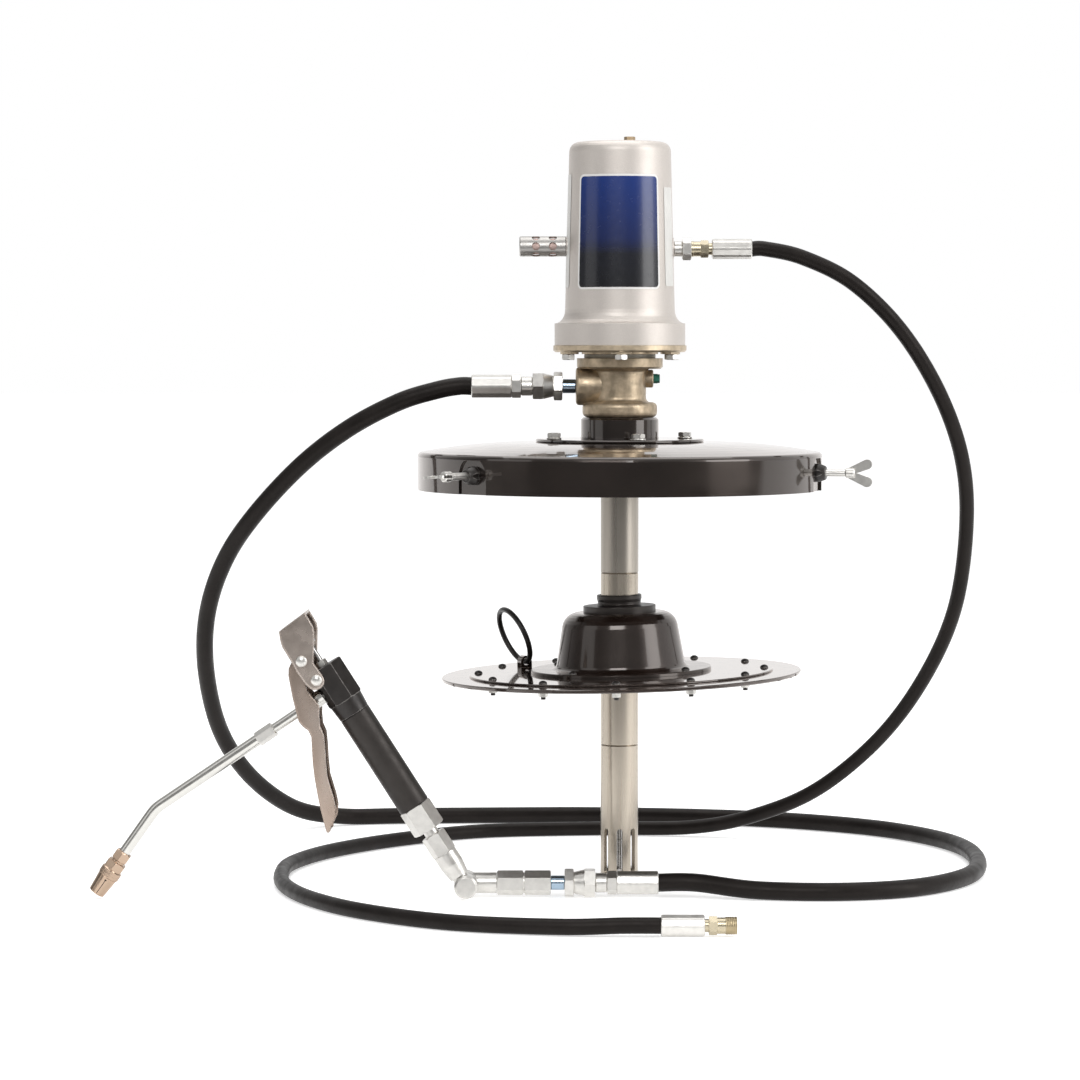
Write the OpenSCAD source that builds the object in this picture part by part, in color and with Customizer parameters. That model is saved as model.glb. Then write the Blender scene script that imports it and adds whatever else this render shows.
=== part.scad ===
// Air-powered grease pump for an open pail, with its cover, follower plate, hoses and control gun.
// Millimetres. The origin is the centre of the pump tube's foot on the floor, +Z up the tube,
// +X towards the air inlet, +Y away from the outlet hose's gun.

/* [Pump tube] */
// Outside diameter of the pump tube
tube_od = 31.8; // [28:0.2:34]
// Wall of the pump tube
tube_wall = 3.2; // [2.6:0.1:4]
// Length of the slotted intake tube
intake_len = 113.7; // [100:0.1:130]
// Length of the polished lower cylinder
lower_len = 145.1; // [130:0.1:160]
// Length of the riser tube, up to the top of the adapter collar
riser_len = 130.7; // [120:0.1:145]
// Number of intake slots
slot_count = 8; // [4:2:8]
// Width of an intake slot
slot_w = 5; // [4:0.1:6]
// Height of an intake slot
slot_h = 38; // [30:1:44]
// Height of the slots above the foot
slot_foot = 5.5; // [4:0.5:8]
// Diameter of the priming rod
priming_rod_d = 8.5; // [7:0.1:9.5]
// Diameter of the displacement rod
displacement_rod_d = 12; // [10.5:0.1:13]
// Diameter of the air motor's piston rod
piston_rod_d = 14; // [13.2:0.1:15]
// Working stroke of the pump
stroke = 60; // [40:1:60]

/* [Air motor] */
// Height of the motor bell above its base flange
bell_h = 169.7; // [160:0.1:180]
// Diameter of the bell near its crown
bell_top_d = 85.2; // [84:0.1:90]
// Growth of the bell's radius from the crown to the flare
bell_taper = 3.4; // [2.9:0.1:4.4]
// Step of the skirt beyond the bell's foot
skirt_step = 8.8; // [8:0.1:10]
// Height of the skirt
skirt_h = 18.4; // [16:0.1:20]
// Height of the hollow flare above the skirt
flare_h = 11.6; // [9:0.1:14]
// Radius of the crown's edge
crown_r = 8; // [6:0.5:10]
// Least wall of the bell
bell_wall = 3; // [2.4:0.1:3.4]
// Lip of the motor base flange beyond the skirt
base_lip = 1.1; // [0.7:0.1:2.2]
// Thickness of the motor base flange
base_t = 5.6; // [5:0.1:8]
// Height of the hub and bolt pads below the flange
base_pad_h = 1.6; // [1.2:0.1:3]
// Number of base bolts
base_bolt_count = 6; // [4:1:8]
// Distance from the skirt's edge to the base bolts' axes
base_bolt_inset = 4.8; // [4.3:0.1:5.3]
// Height of the exhaust muffler above the flange
muffler_rise = 82.8; // [76:0.1:90]
// Outside diameter of the muffler
muffler_d = 17; // [15:0.1:18]
// Length of the muffler outside the bell
muffler_len = 39.3; // [36:0.1:44]
// Diameter of the muffler's holes
muffler_hole_d = 6.7; // [5.8:0.1:6.8]
// Holes in each row round the muffler
muffler_hole_count = 6; // [4:1:6]

/* [Outlet and adapter] */
// Thickness of the gasket ring under the base
gasket_t = 3.5; // [2:0.1:5]
// Height of the outlet body's upper ring
upper_ring_h = 8.8; // [7:0.1:11]
// Diameter of the outlet body's upper ring
upper_ring_d = 72; // [70:0.1:73]
// Height of the outlet body between its rings
outlet_waist_h = 28; // [26:0.1:32]
// Diameter of the outlet body between its rings
outlet_waist_d = 44; // [42:0.1:48]
// Height of the outlet body's lower ring
lower_ring_h = 12.6; // [11:0.1:15]
// Diameter of the outlet body's lower ring
lower_ring_d = 62.8; // [60:0.1:65]
// Reach of the outlet boss from the pump's axis
outlet_reach = 37; // [35:0.1:42]
// Diameter of the outlet boss
outlet_boss_d = 32; // [28:0.1:34]
// Diameter of the adapter collar
collar_d = 65.6; // [64:0.1:68]
// Height of the adapter collar
collar_h = 18; // [15:0.1:20]
// Diameter of the adapter plate
adapter_plate_d = 141.4; // [138:0.1:146]
// Thickness of the adapter plate
adapter_plate_t = 2.5; // [2:0.1:3.5]
// Number of adapter bolts
adapter_bolt_count = 4; // [3:1:6]
// Diameter of the adapter bolts' circle
adapter_bolt_circle = 114; // [108:0.1:120]

/* [Pail cover] */
// Outside diameter of the cover
cover_d = 340; // [334:1:346]
// Depth of the cover's rim below its top's edge
rim_h = 32; // [28:0.5:34]
// Rise of the domed top from its edge to its centre
cover_rise = 8; // [6:0.1:10]
// Thickness of the cover's sheet
cover_t = 1.6; // [1.4:0.1:2]
// Number of clamp screws
clamp_count = 3; // [3:1:3]
// Direction of the first clamp screw
clamp_phase = -16; // [-20:1:-12]
// Diameter of a clamp nut at the cover
clamp_nut_d = 15.8; // [15:0.1:16.5]
// Length of a clamp nut
clamp_nut_len = 8.9; // [8:0.1:10]
// Diameter of a clamp screw
clamp_screw_d = 6; // [5:0.1:7]
// Spread of a wing screw's wings
wing_spread = 23; // [20:0.5:26]
// Reach of a wing screw's wings beyond their root
wing_reach = 18; // [16:0.5:22]

/* [Follower] */
// Height of the top of the follower's dome above the floor
dome_top_z = 226; // [215:0.1:230]
// Roll of the follower on the tube
follower_roll = 1.5; // [0:0.1:1.6]
// Diameter of the wiper disc
wiper_d = 303; // [290:1:304]
// Thickness of the wiper disc
wiper_t = 3.2; // [2.5:0.1:4]
// Diameter of the follower's steel plates
plate_d = 256; // [254:1:262]
// Thickness of a steel plate
plate_t = 1.6; // [1.2:0.1:2]
// Diameter of the dome at its shoulder
dome_top_d = 98; // [94:1:101]
// Diameter of the dome above its flange
dome_foot_d = 108; // [105:1:112]
// Height of the dome
dome_h = 50; // [46:0.5:52]
// Thickness of the dome's sheet
dome_t = 2; // [1.6:0.1:2.4]
// Radius of the dome's shoulder
dome_shoulder_r = 14; // [12:0.5:16]
// Diameter of the dome's flange
dome_flange_d = 152; // [146:1:158]
// Thickness of the dome's flange
dome_flange_t = 2.8; // [2:0.1:3.4]
// Number of bolts round the plates
follower_bolt_count = 12; // [8:1:16]
// Diameter of the plate bolts' circle
follower_bolt_circle = 241; // [238:0.5:242]
// Diameter of the tube seal's flange
seal_flange_d = 61; // [56:0.5:66]
// Height of the tube seal above the dome
seal_h = 14.4; // [13:0.1:18]
// Outside diameter of the lift ring
lift_ring_d = 53; // [48:0.5:56]
// Diameter of the lift ring's bar
lift_ring_bar_d = 4.6; // [4:0.1:5]

/* [Hose fittings] */
// Diameter of the outlet nipple
nipple_d = 11.8; // [11:0.1:13]
// Visible length of the outlet nipple
nipple_len = 11.2; // [10:0.1:13]
// Width across the flats of the union's hex
union_af = 21.3; // [20:0.1:22]
// Length of the union's hex
union_hex_len = 7.4; // [6:0.1:9]
// Length of the swivel nut's cone
union_cone_len = 8.6; // [7.6:0.1:9.4]
// Width across the flats of the swivel nut
swivel_nut_af = 21.6; // [20.5:0.1:22.5]
// Length of the swivel nut
swivel_nut_len = 9; // [8:0.1:11]
// Diameter of the hose stem
stem_d = 16; // [15:0.1:16.6]
// Length of the hose stem
stem_len = 9.8; // [8:0.1:11]
// Width across the flats of the stem's hex
stem_af = 17; // [16.8:0.1:18]
// Length of the stem's hex
stem_hex_len = 7.6; // [6:0.1:9]
// Diameter of the grease hose's ferrules
ferrule_d = 19.2; // [18:0.1:20]
// Length of the grease hose's ferrules
ferrule_len = 34; // [30:0.1:38]
// Diameter of the air hose's ferrules
air_ferrule_d = 16.9; // [15.5:0.1:17.6]
// Length of the air hose's ferrules
air_ferrule_len = 33.4; // [30:0.1:38]
// Diameter of the air hose's pipe thread
air_thread_d = 13.2; // [12.8:0.1:13.6]
// Length of the air hose's pipe thread
air_thread_len = 9; // [8:0.1:11]

/* [Hoses] */
// Outside diameter of the grease hose
grease_hose_d = 15; // [12:0.1:15]
// Outside diameter of the air hose
air_hose_d = 12.8; // [11:0.1:14]

/* [Grease gun] */
// Lean of the gun from upright
gun_lean = 32.6; // [30:0.1:33]
// Diameter of the gun's grip
grip_d = 26; // [24:0.1:27]
// Length of the gun's grip
grip_len = 90; // [80:1:100]
// Width across the flats of the gun's valve body
body_af = 26; // [25:0.1:27]
// Length of the gun's valve body
body_len = 32.5; // [31:0.5:34]
// Length of the taper between grip and valve body
body_taper_len = 13; // [11:0.5:16]
// Width across the flats of the gun's end nut
end_nut_af = 23.9; // [22:0.1:25]
// Length of the gun's end nut
end_nut_len = 22; // [20:0.5:25]
// Straight length of the nozzle tube from the gun's axis to its bend
nozzle_len = 179.3; // [175:0.1:182]
// Diameter of the nozzle tube
nozzle_d = 9.5; // [8.5:0.1:10]
// Angle of the nozzle's bend
nozzle_bend = 20.6; // [18:0.1:20.7]
// Length of the nozzle beyond its bend, with the coupler
nozzle_end_len = 84.9; // [80:0.1:85]
// Length of the grease coupler
coupler_len = 41; // [38:0.5:44]
// Diameter of the coupler's mouth
coupler_mouth_d = 6.8; // [6.4:0.1:7.2]
// Thickness of the trigger's sheet
trigger_t = 1.8; // [1.5:0.1:2]

/* [Hidden] */
$fn = 64;

// Clearances and the overrun of every cut
over = 1;
fit_gap = 0.1;
run_gap = 0.05;
free_gap = 0.4;

// Heights of the stack above the floor
tube_r = tube_od / 2;
bore_r = tube_r - tube_wall;
lower_z = intake_len;
riser_z = lower_z + lower_len;
tube_top_z = riser_z + riser_len;
collar_z = tube_top_z - collar_h;
cover_top_z = collar_z - adapter_plate_t;
outlet_waist_z = tube_top_z + lower_ring_h;
upper_ring_z = outlet_waist_z + outlet_waist_h;
gasket_z = upper_ring_z + upper_ring_h;
base_z = gasket_z + gasket_t;
base_flange_z = base_z + base_pad_h;
bell_z = base_flange_z + base_t;
bell_top_z = bell_z + bell_h;

// Pump tube and rods
tube_chamfer = 0.6;
seat_r = 8.2;
seat_h = 6;
check_t = 6;
check_r = 11;
check_lift = 4;
shovel_t = 5;
shovel_z = 4.5;
plunger_z = 140.8;
plunger_h = 18;
rod_joint_z = 385;
rod_bottom_clear = 4;

// Air motor
cylinder_r = bell_top_d / 2 - bell_wall;
bell_foot_d = bell_top_d + 2 * bell_taper;
skirt_d = bell_foot_d + 2 * skirt_step;
base_d = skirt_d + 2 * base_lip;
base_bolt_circle = skirt_d - 2 * base_bolt_inset;
crown_t = 4;
piston_h = 16;
piston_rest = 5.4;
piston_groove_d = 3.2;
piston_groove_h = 5;
piston_edge_gap = 0.4;
trip_rod_d = 5;
trip_bore_gap = 0.7;
trip_head_d = 28;
trip_head_h = 4;
trip_head_drop = 11.3;
trip_overlap = 4;
trip_bore_z = bell_z + piston_rest + piston_h - stroke - trip_overlap - rod_bottom_clear;
vent_x = 8;
vent_d = 9.4;
vent_h = 4.6;
vent_neck_h = 1.4;
vent_neck_d = 6;
vent_shank = 6;
muffler_wall = 1.6;
muffler_cap = 2;
muffler_row_shares = [0.29, 0.65];
element_gap = 0.3;
element_d = muffler_d - 2 * muffler_wall - 2 * element_gap;
port_boss_inset = 1.1;
port_boss_reach = bell_foot_d / 2 - port_boss_inset;
port_hole_d = 9;
inlet_rise = 80.7;
inlet_collar_d = 13;
inlet_collar_len = 7.3;
inlet_nut_af = 16.3;
inlet_nut_len = 7.5;
inlet_thread_in = 7.2;
base_bolt_d = 6;
base_bolt_len = 14;
bolt_head_af = 10;
bolt_head_h = 4.8;
base_pad_d = 17;
base_hub_d = 64;
base_chamfer = 1.6;
gasket_d = 60;

// Outlet body
ring_round = 4;
outlet_rise = 26;
outlet_passage_d = 9;
outlet_round = 3;
right_boss_d = 15;
right_boss_reach = 28;
right_boss_rise = 32.3;
ground_screw_d = 8;
ground_screw_h = 5.5;
ground_shank_d = 4;
ground_shank_len = 7;
chamber_top = 8;

// Adapter and cover
collar_chamfer = 2;
adapter_bolt_d = 6;
adapter_bolt_phase = -75.7;
adapter_flange_d = 12.6;
adapter_flange_t = 1.3;
adapter_head_h = 4;
adapter_bolt_tail = 7;
cover_flat_r = 74;
cover_edge_r = 4;
dome_steps = 8;
pad_depth = 2.4;
pad_w = 32;
pad_arch_flat = 3;
pad_top_gap = 4.5;
clamp_drop = 0.52;
clamp_tip_in = 8;
clamp_hole_gap = 0.4;
clamp_nut_tip_d = 11.6;
clamp_groove_d = 6;
clamp_groove_r = 9.2;
clamp_groove_count = 4;
wing_turns = [90, 40, 3];
wing_root = 25.5;
wing_hub_d = 8.6;
wing_hub_len = 8;
wing_t = 2.4;
wing_end_d = 8.4;
wing_base_d = 6.4;

// Follower
seal_gap = 0.55;
seal_flange_h = 5.4;
seal_waist_t = 1.7;
seal_lip_t = 2.4;
seal_lip_h = 3.4;
dome_hole_gap = 1.4;
dome_shoulder_drop = 2;
plate_hole_d = 98;
follower_bolt_phase = -3.2;
follower_bolt_d = 4;
follower_head_d = 7;
follower_head_h = 2.6;
follower_nut_af = 7;
follower_nut_h = 4.4;
follower_tail = 6.6;
dome_bolt_count = 4;
dome_bolt_phase = 52;
clip_x = -81.5;
clip_y = 55;
clip_turn = 24.8;
clip_w = 8;
clip_wall = 2;
clip_gap = 0.8;
ring_lean = 21;

// Hose chains, from the port outwards
union_turn = 14;
nut_turn = 30;
union_cone_d = 17.6;
nut_shoulder_d = 21.8;
nut_chamfer = 1.2;
ferrule_chamfer = 0.8;
ferrule_crimp = 0.96;
far_chain_x = -58.2;
far_chain_y = -110;
far_chain_z = 12.4;
union_z = nipple_len;
union_cone_z = union_z + union_hex_len;
swivel_nut_z = union_cone_z + union_cone_len;
stem_z = swivel_nut_z + swivel_nut_len;
stem_hex_z = stem_z + stem_len;
ferrule_z = stem_hex_z + stem_hex_len;
chain_len = ferrule_z + ferrule_len;
outlet_z = tube_top_z + outlet_rise;

// Air hose's stems, from the ferrule outwards
air_neck_d = 10;
air_neck_len = 3;
air_hex_af = 12.6;
air_hex_len = 6.6;
air_shank_d = 12.6;
air_shank_len = 6;
air_stem_len = air_neck_len + air_hex_len + air_shank_len + air_thread_len;
inlet_z = bell_z + inlet_rise;
inlet_face_x = port_boss_reach + inlet_collar_len + inlet_nut_len;
air_start_x = inlet_face_x + air_stem_len - inlet_thread_in + air_ferrule_len;
air_end_x = 25;
air_end_y = -304;
air_end_z = 8.6;

// Swivel between the grease hose and the gun
inlet_hex_d = 20.2;
inlet_hex_len = 21.4;
inlet_groove_d = 17;
inlet_groove_len = 1;
swivel_r = 9.5;
swivel_pin_d = 8;
swivel_gap = 0.3;
swivel_stub_d = 17;
swivel_inlet_x = far_chain_x - 2 * inlet_hex_len - inlet_groove_len;
gun_x = -127;
gun_y = -128;
gun_z = far_chain_z;
yoke_half = 8.6;
yoke_cap_d = 17;
yoke_cap_len = 1.4;
yoke_neck = 10;
yoke_neck_d = 13;

// Gun, along its own axis from the swivel's cross pin
adapter_cone_len = 22;
adapter_cone_d1 = 16;
adapter_cone_d2 = 19.4;
adapter_hex_len = 18;
adapter_hex_af = 18;
adapter_neck_len = 5;
adapter_neck_d = 12;
adapter_bore_d = 6;
core_d = 16;
end_nut_z = yoke_neck + adapter_cone_len + adapter_hex_len + adapter_neck_len;
grip_z = end_nut_z + end_nut_len;
taper_z = grip_z + grip_len;
body_z = taper_z + body_taper_len;
body_top_z = body_z + body_len;
nozzle_rise = 12.76;
nozzle_dip = 1.5;
gun_turn = 3;
nozzle_collar_d = 13;
nozzle_collar_out = 25;
nozzle_rod_d = 8;
nozzle_rod_len = 62;
nozzle_nut_af = 10.6;
nozzle_nut_len = 16;
nozzle_bore_d = 4;
nozzle_sink = 5;
bend_r = 30;
pivot_rise = 26.5;
pivot_out = 9.2;
pivot_d = 6;
pivot_head_d = 9.4;
pivot_head_t = 2.4;
rivet_rise = 45.8;
rivet_out = 11.2;
stem_out = 0.5;
valve_stem_d = 5;
valve_stem_sink = 12;
stem_head_d = 12;
stem_head_h = 3;
stem_head_rise = 53.4;
gland_af = 8.4;
gland_h = 5;
lift_tab_t = 2;
lift_tab_gap = 0.4;
lift_tab_half_slot = 3.3;
lift_tab_in = 1;
lift_tab_out = 11;
lever_gap = 0.2;
trigger_w = body_af + 2 * lever_gap;
nozzle_slot_w = 12.6;
nozzle_slot_low = 8;
nozzle_slot_high = 12;

// Grease coupler, from the nozzle's end outwards
coupler_collar_d = 12.6;
coupler_collar_len = 9;
coupler_hex_af = 15;
coupler_hex_len = 8;
coupler_barrel_d = 17;
coupler_barrel_len = 16;
coupler_nose_d = 16.4;
coupler_mouth_depth = 10;

// Side outline of the trigger's head, as shares of its height and depth above the valve body's foot
head_h = 58.4;
head_depth = 20;
head_rise = 19.2;
head_open_share = 0.7;
head_shares = [
    [0.966, 0.675], [0.997, -0.62], [0.774, -0.595], [0.702, -0.51], [0.342, 0.195], [0.125, 0.16],
    [0.068, 0.195], [0.02, 0.30], [0, 0.465], [0.007, 0.64], [0.034, 0.78], [0.074, 0.865],
    [0.161, 0.93], [0.356, 0.955], [0.52, 0.915], [0.76, 0.90], [0.825, 0.85], [0.873, 0.795]
];

// Outer and inner edges of the lever, as shares of its height and reach from the gun's axis
lever_top = 231;
lever_low = 97;
lever_reach = 70;
lever_outer_shares = [
    [1, 0.214], [0.985, 0.273], [0.966, 0.333], [0.93, 0.381], [0.876, 0.424], [0.804, 0.48],
    [0.729, 0.529], [0.664, 0.57], [0.627, 0.563], [0.587, 0.534], [0.546, 0.543], [0.493, 0.601],
    [0.412, 0.69], [0.328, 0.769], [0.241, 0.84], [0.153, 0.906], [0.081, 0.953], [0.015, 0.994],
    [0, 0.988]
];
lever_inner_shares = [
    [0.004, 0.95], [0.021, 0.929], [0.054, 0.83], [0.104, 0.756], [0.163, 0.711], [0.225, 0.677],
    [0.287, 0.643], [0.369, 0.563], [0.451, 0.474], [0.517, 0.409], [0.57, 0.393], [0.625, 0.337],
    [0.676, 0.27], [0.716, 0.279], [0.794, 0.296], [0.851, 0.25], [0.877, 0.136], [0.925, 0.079],
    [0.985, 0.086], [1, 0.129]
];

// Route of the grease hose, from the pump's outlet to the gun
grease_route = [
    [-124.6, 0, 415.5], [-135, 0, 415.5], [-154, 1, 412], [-186, 3, 402], [-228, 10, 380],
    [-270, 28, 348],
    [-311, 52, 305], [-339, 80, 265], [-357, 112, 219], [-363, 148, 170], [-358, 195, 115],
    [-343, 233, 74], [-319, 270, 41], [-289, 305, 18], [-250, 332, 8.7], [-198, 344, 7.6],
    [-104, 349, 7.6], [-10, 350, 7.6], [100, 333, 7.6], [180, 302, 7.6], [252, 246, 7.6],
    [298, 165, 7.6], [310, 72, 7.6], [294, -30, 7.6], [246, -100, 7.6], [182, -127, 7.6],
    [110, -122, 8], [60, -110, 12.4], [29.4, -110, 12.4]
];

// Route of the air hose, from the motor's inlet to its loose end
air_route = [
    [110.5, 0, 530.3], [122, 0, 530.3], [154, 3, 523], [196, 8, 502], [238, 20, 462],
    [273, 38, 408], [295, 60, 351], [302, 88, 290], [296, 122, 218], [273, 158, 154],
    [237, 193, 97], [186, 222, 49], [133, 240, 23], [75, 255, 9], [-12, 264, 6.5],
    [-118, 246, 6.5], [-194, 190, 6.5], [-250, 118, 6.5], [-279, 45, 6.5], [-284, -20, 6.5],
    [-276, -88, 6.5], [-250, -158, 6.5], [-205, -222, 6.5], [-135, -276, 6.5],
    [-52, -300, 7], [-4, -304, 8.6], [25, -304, 8.6]
];
hose_sides = 10;

// Points on an arc
function arc(x, y, r, from, to, steps) =
    [for (i = [0:steps]) let (a = from + (to - from) * i / steps) [x + r * cos(a), y + r * sin(a)]];

// Radius of a hexagon's corners for its width across the flats
function corner(af) = af / 2 / cos(30);

// A point on the smooth curve through the points p, at the share t after point i
function curve_at(p, i, t) =
    let (a = p[max(i - 1, 0)], b = p[i], c = p[min(i + 1, len(p) - 1)], d = p[min(i + 2, len(p) - 1)])
    b + t * (c - a) / 2 + t * t * (a - 2.5 * b + 2 * c - d / 2)
      + t * t * t * (-a / 2 + 1.5 * b - 1.5 * c + d / 2);

// The curve's rings: the ends, every route point, and the middle of each long stretch
function rings_of(p, longest) = [
    for (i = [0:len(p) - 2])
        for (t = norm(p[i + 1] - p[i]) > longest && i > 0 && i < len(p) - 2 ? [0, 0.5] : [0])
            curve_at(p, i, t),
    p[len(p) - 1]
];
function unit(v) = v / norm(v);
function heading(c, i) = unit(c[min(i + 1, len(c) - 1)] - c[max(i - 1, 0)]);

// Sideways directions carried along the curve without twist
function sideways(c, i = 0, out = []) =
    i == len(c) ? out :
    let (t = heading(c, i), n = i == 0 ? cross(t, [0, 1, 0]) : out[i - 1])
    sideways(c, i + 1, concat(out, [unit(n - (n * t) * t)]));

// A round tube along a curve, closed at both ends
module swept(c, r) {
    n = sideways(c);
    rows = len(c);
    points = [
        for (i = [0:rows - 1])
            for (k = [0:hose_sides - 1])
                let (a = 360 * k / hose_sides)
                c[i] + r * (cos(a) * n[i] + sin(a) * cross(heading(c, i), n[i]))
    ];
    sides = [
        for (i = [0:rows - 2])
            for (k = [0:hose_sides - 1])
                let (a = i * hose_sides + k, b = i * hose_sides + (k + 1) % hose_sides)
                each [[a, a + hose_sides, b], [b, a + hose_sides, b + hose_sides]]
    ];
    first = [for (k = [0:hose_sides - 1]) k];
    last = [for (k = [hose_sides - 1:-1:0]) (rows - 1) * hose_sides + k];
    polyhedron(points = points, faces = concat(sides, [first, last]), convexity = 10);
}

// A turned solid from its half outline
module lathe(points) {
    rotate_extrude() polygon(points);
}

// A hexagonal bar with its corners turned down at both ends
module hex_bar(af, h, bevel = nut_chamfer) {
    intersection() {
        cylinder(r = corner(af), h = h, $fn = 6);
        lathe([
            [0, 0], [corner(af) - bevel, 0], [corner(af), bevel * tan(30)],
            [corner(af), h - bevel * tan(30)], [corner(af) - bevel, h], [0, h]
        ]);
    }
}

// A round bar with both end edges bevelled
module bevelled(d, h, bevel) {
    lathe([
        [0, 0], [d / 2 - bevel, 0], [d / 2, bevel], [d / 2, h - bevel], [d / 2 - bevel, h], [0, h]
    ]);
}

// A pressed ferrule, round with eight shallow flats
module crimped(d, h) {
    intersection() {
        bevelled(d, h, ferrule_chamfer);
        translate([0, 0, -over]) cylinder(r = d / 2 * ferrule_crimp / cos(22.5), h = h + 2 * over, $fn = 8);
    }
}

// A low domed head
module domed(d, h) {
    steps = 5;
    lathe(concat([[0, 0]], [
        for (i = [0:steps]) let (a = 90 * i / steps) [d / 2 * cos(a), h * sin(a)]
    ]));
}

module around(count, r, phase = 0) {
    for (i = [0:count - 1]) rotate([0, 0, phase + 360 * i / count]) translate([r, 0, 0]) children();
}

// A round tube with bevelled outer ends
module pipe(outer, inner, h, bevel) {
    lathe([
        [inner, 0], [outer - bevel, 0], [outer, bevel],
        [outer, h - bevel], [outer - bevel, h], [inner, h]
    ]);
}

// The two hose chains: one at the pump's outlet, one before the gun
module at_chains() {
    translate([-outlet_reach, 0, outlet_z]) rotate([0, -90, 0]) children();
    translate([far_chain_x, far_chain_y, far_chain_z]) rotate([0, 90, 0]) children();
}

// The air hose's two ends, each at its ferrule's outer face
module at_air_ends() {
    translate([air_start_x - air_ferrule_len, 0, inlet_z]) rotate([0, -90, 0]) children();
    translate([air_end_x + air_ferrule_len, air_end_y, air_end_z]) rotate([0, 90, 0]) children();
}

module follower_place() {
    translate([0, 0, dome_top_z]) rotate([0, -follower_roll, 0]) children();
}

module gun_place() {
    translate([gun_x, gun_y, gun_z]) rotate([0, -gun_lean, 0]) rotate([0, 0, -gun_turn]) children();
}

module nozzle_place() {
    gun_place() translate([0, 0, body_z + nozzle_rise]) rotate([0, -90 - nozzle_dip, 0]) children();
}

module nozzle_end_place() {
    nozzle_place()
        translate([-bend_r, 0, nozzle_len - bend_r * tan(nozzle_bend / 2)])
        rotate([0, -nozzle_bend, 0])
        translate([bend_r, 0, 0])
        children();
}

// Air motor

module motor_bell() {
    flare_w = skirt_d / 2 - bell_foot_d / 2;
    flare = [
        for (i = [0:6]) let (a = 90 * i / 6)
        [skirt_d / 2 - flare_w * sin(a), skirt_h + flare_h * (1 - cos(a))]
    ];
    crown = arc(bell_top_d / 2 - crown_r, bell_h - crown_r, crown_r, 0, 90, 6);
    color("silver")
    translate([0, 0, bell_z])
    difference() {
        union() {
            lathe(concat([[0, 0], [skirt_d / 2, 0]], flare, crown, [[0, bell_h]]));
            translate([0, 0, muffler_rise]) rotate([0, -90, 0])
                cylinder(d = muffler_d, h = port_boss_reach);
            translate([0, 0, inlet_rise]) rotate([0, 90, 0])
                cylinder(d = inlet_collar_d + 2 * bell_wall, h = port_boss_reach);
        }
        translate([0, 0, -over]) cylinder(r = cylinder_r, h = bell_h - crown_t + over);
        translate([0, 0, muffler_rise]) rotate([0, -90, 0])
            cylinder(d = port_hole_d, h = port_boss_reach + over);
        translate([0, 0, inlet_rise]) rotate([0, 90, 0])
            cylinder(d = port_hole_d, h = port_boss_reach + over);
        translate([vent_x, 0, bell_h - crown_t - over])
            cylinder(d = vent_neck_d + 2 * fit_gap, h = crown_t + 2 * over);
        around(base_bolt_count, base_bolt_circle / 2, -90)
            translate([0, 0, -over])
            cylinder(d = base_bolt_d + 2 * fit_gap, h = base_bolt_len - base_t + fit_gap + over);
    }
}

module vent_plug() {
    color("tan")
    translate([vent_x, 0, bell_top_z]) {
        translate([0, 0, -vent_shank + vent_neck_h]) cylinder(d = vent_neck_d, h = vent_shank);
        translate([0, 0, vent_neck_h]) hex_bar(vent_d * cos(30), vent_h - vent_neck_h, vent_neck_h / 3);
    }
}

module exhaust_muffler() {
    bore = muffler_d / 2 - muffler_wall;
    hole_start = sqrt(pow(bore, 2) - pow(muffler_hole_d / 2, 2)) - run_gap;
    color("lightsteelblue")
    translate([-port_boss_reach, 0, bell_z + muffler_rise]) rotate([0, -90, 0])
    difference() {
        bevelled(muffler_d, muffler_len, ferrule_chamfer);
        translate([0, 0, -over])
            cylinder(r = bore, h = muffler_len - muffler_cap + over);
        for (row = muffler_row_shares)
            around(muffler_hole_count, 0, 30)
            translate([0, 0, row * muffler_len]) rotate([0, 90, 0])
            translate([0, 0, hole_start])
            cylinder(d = muffler_hole_d, h = muffler_d);
    }
}

module muffler_element() {
    color("wheat")
    translate([-port_boss_reach, 0, bell_z + muffler_rise]) rotate([0, -90, 0])
    difference() {
        cylinder(d = element_d, h = muffler_len - muffler_cap - element_gap);
        translate([0, 0, -over]) cylinder(d = port_hole_d, h = muffler_len - 3 * muffler_cap + over);
    }
}

module air_inlet_fitting() {
    color("gainsboro")
    translate([port_boss_reach, 0, inlet_z]) rotate([0, 90, 0])
    difference() {
        union() {
            bevelled(inlet_collar_d, inlet_collar_len, ferrule_chamfer);
            translate([0, 0, inlet_collar_len]) hex_bar(inlet_nut_af, inlet_nut_len);
        }
        translate([0, 0, -over]) cylinder(d = port_hole_d, h = inlet_collar_len + inlet_nut_len);
        translate([0, 0, inlet_collar_len + inlet_nut_len - inlet_thread_in])
            cylinder(r = air_thread_d / 2 + run_gap, h = air_thread_len);
    }
}

module motor_gasket() {
    color("whitesmoke")
    translate([0, 0, gasket_z])
    pipe(gasket_d / 2, piston_rod_d / 2 + free_gap, gasket_t, tube_chamfer);
}

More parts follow.
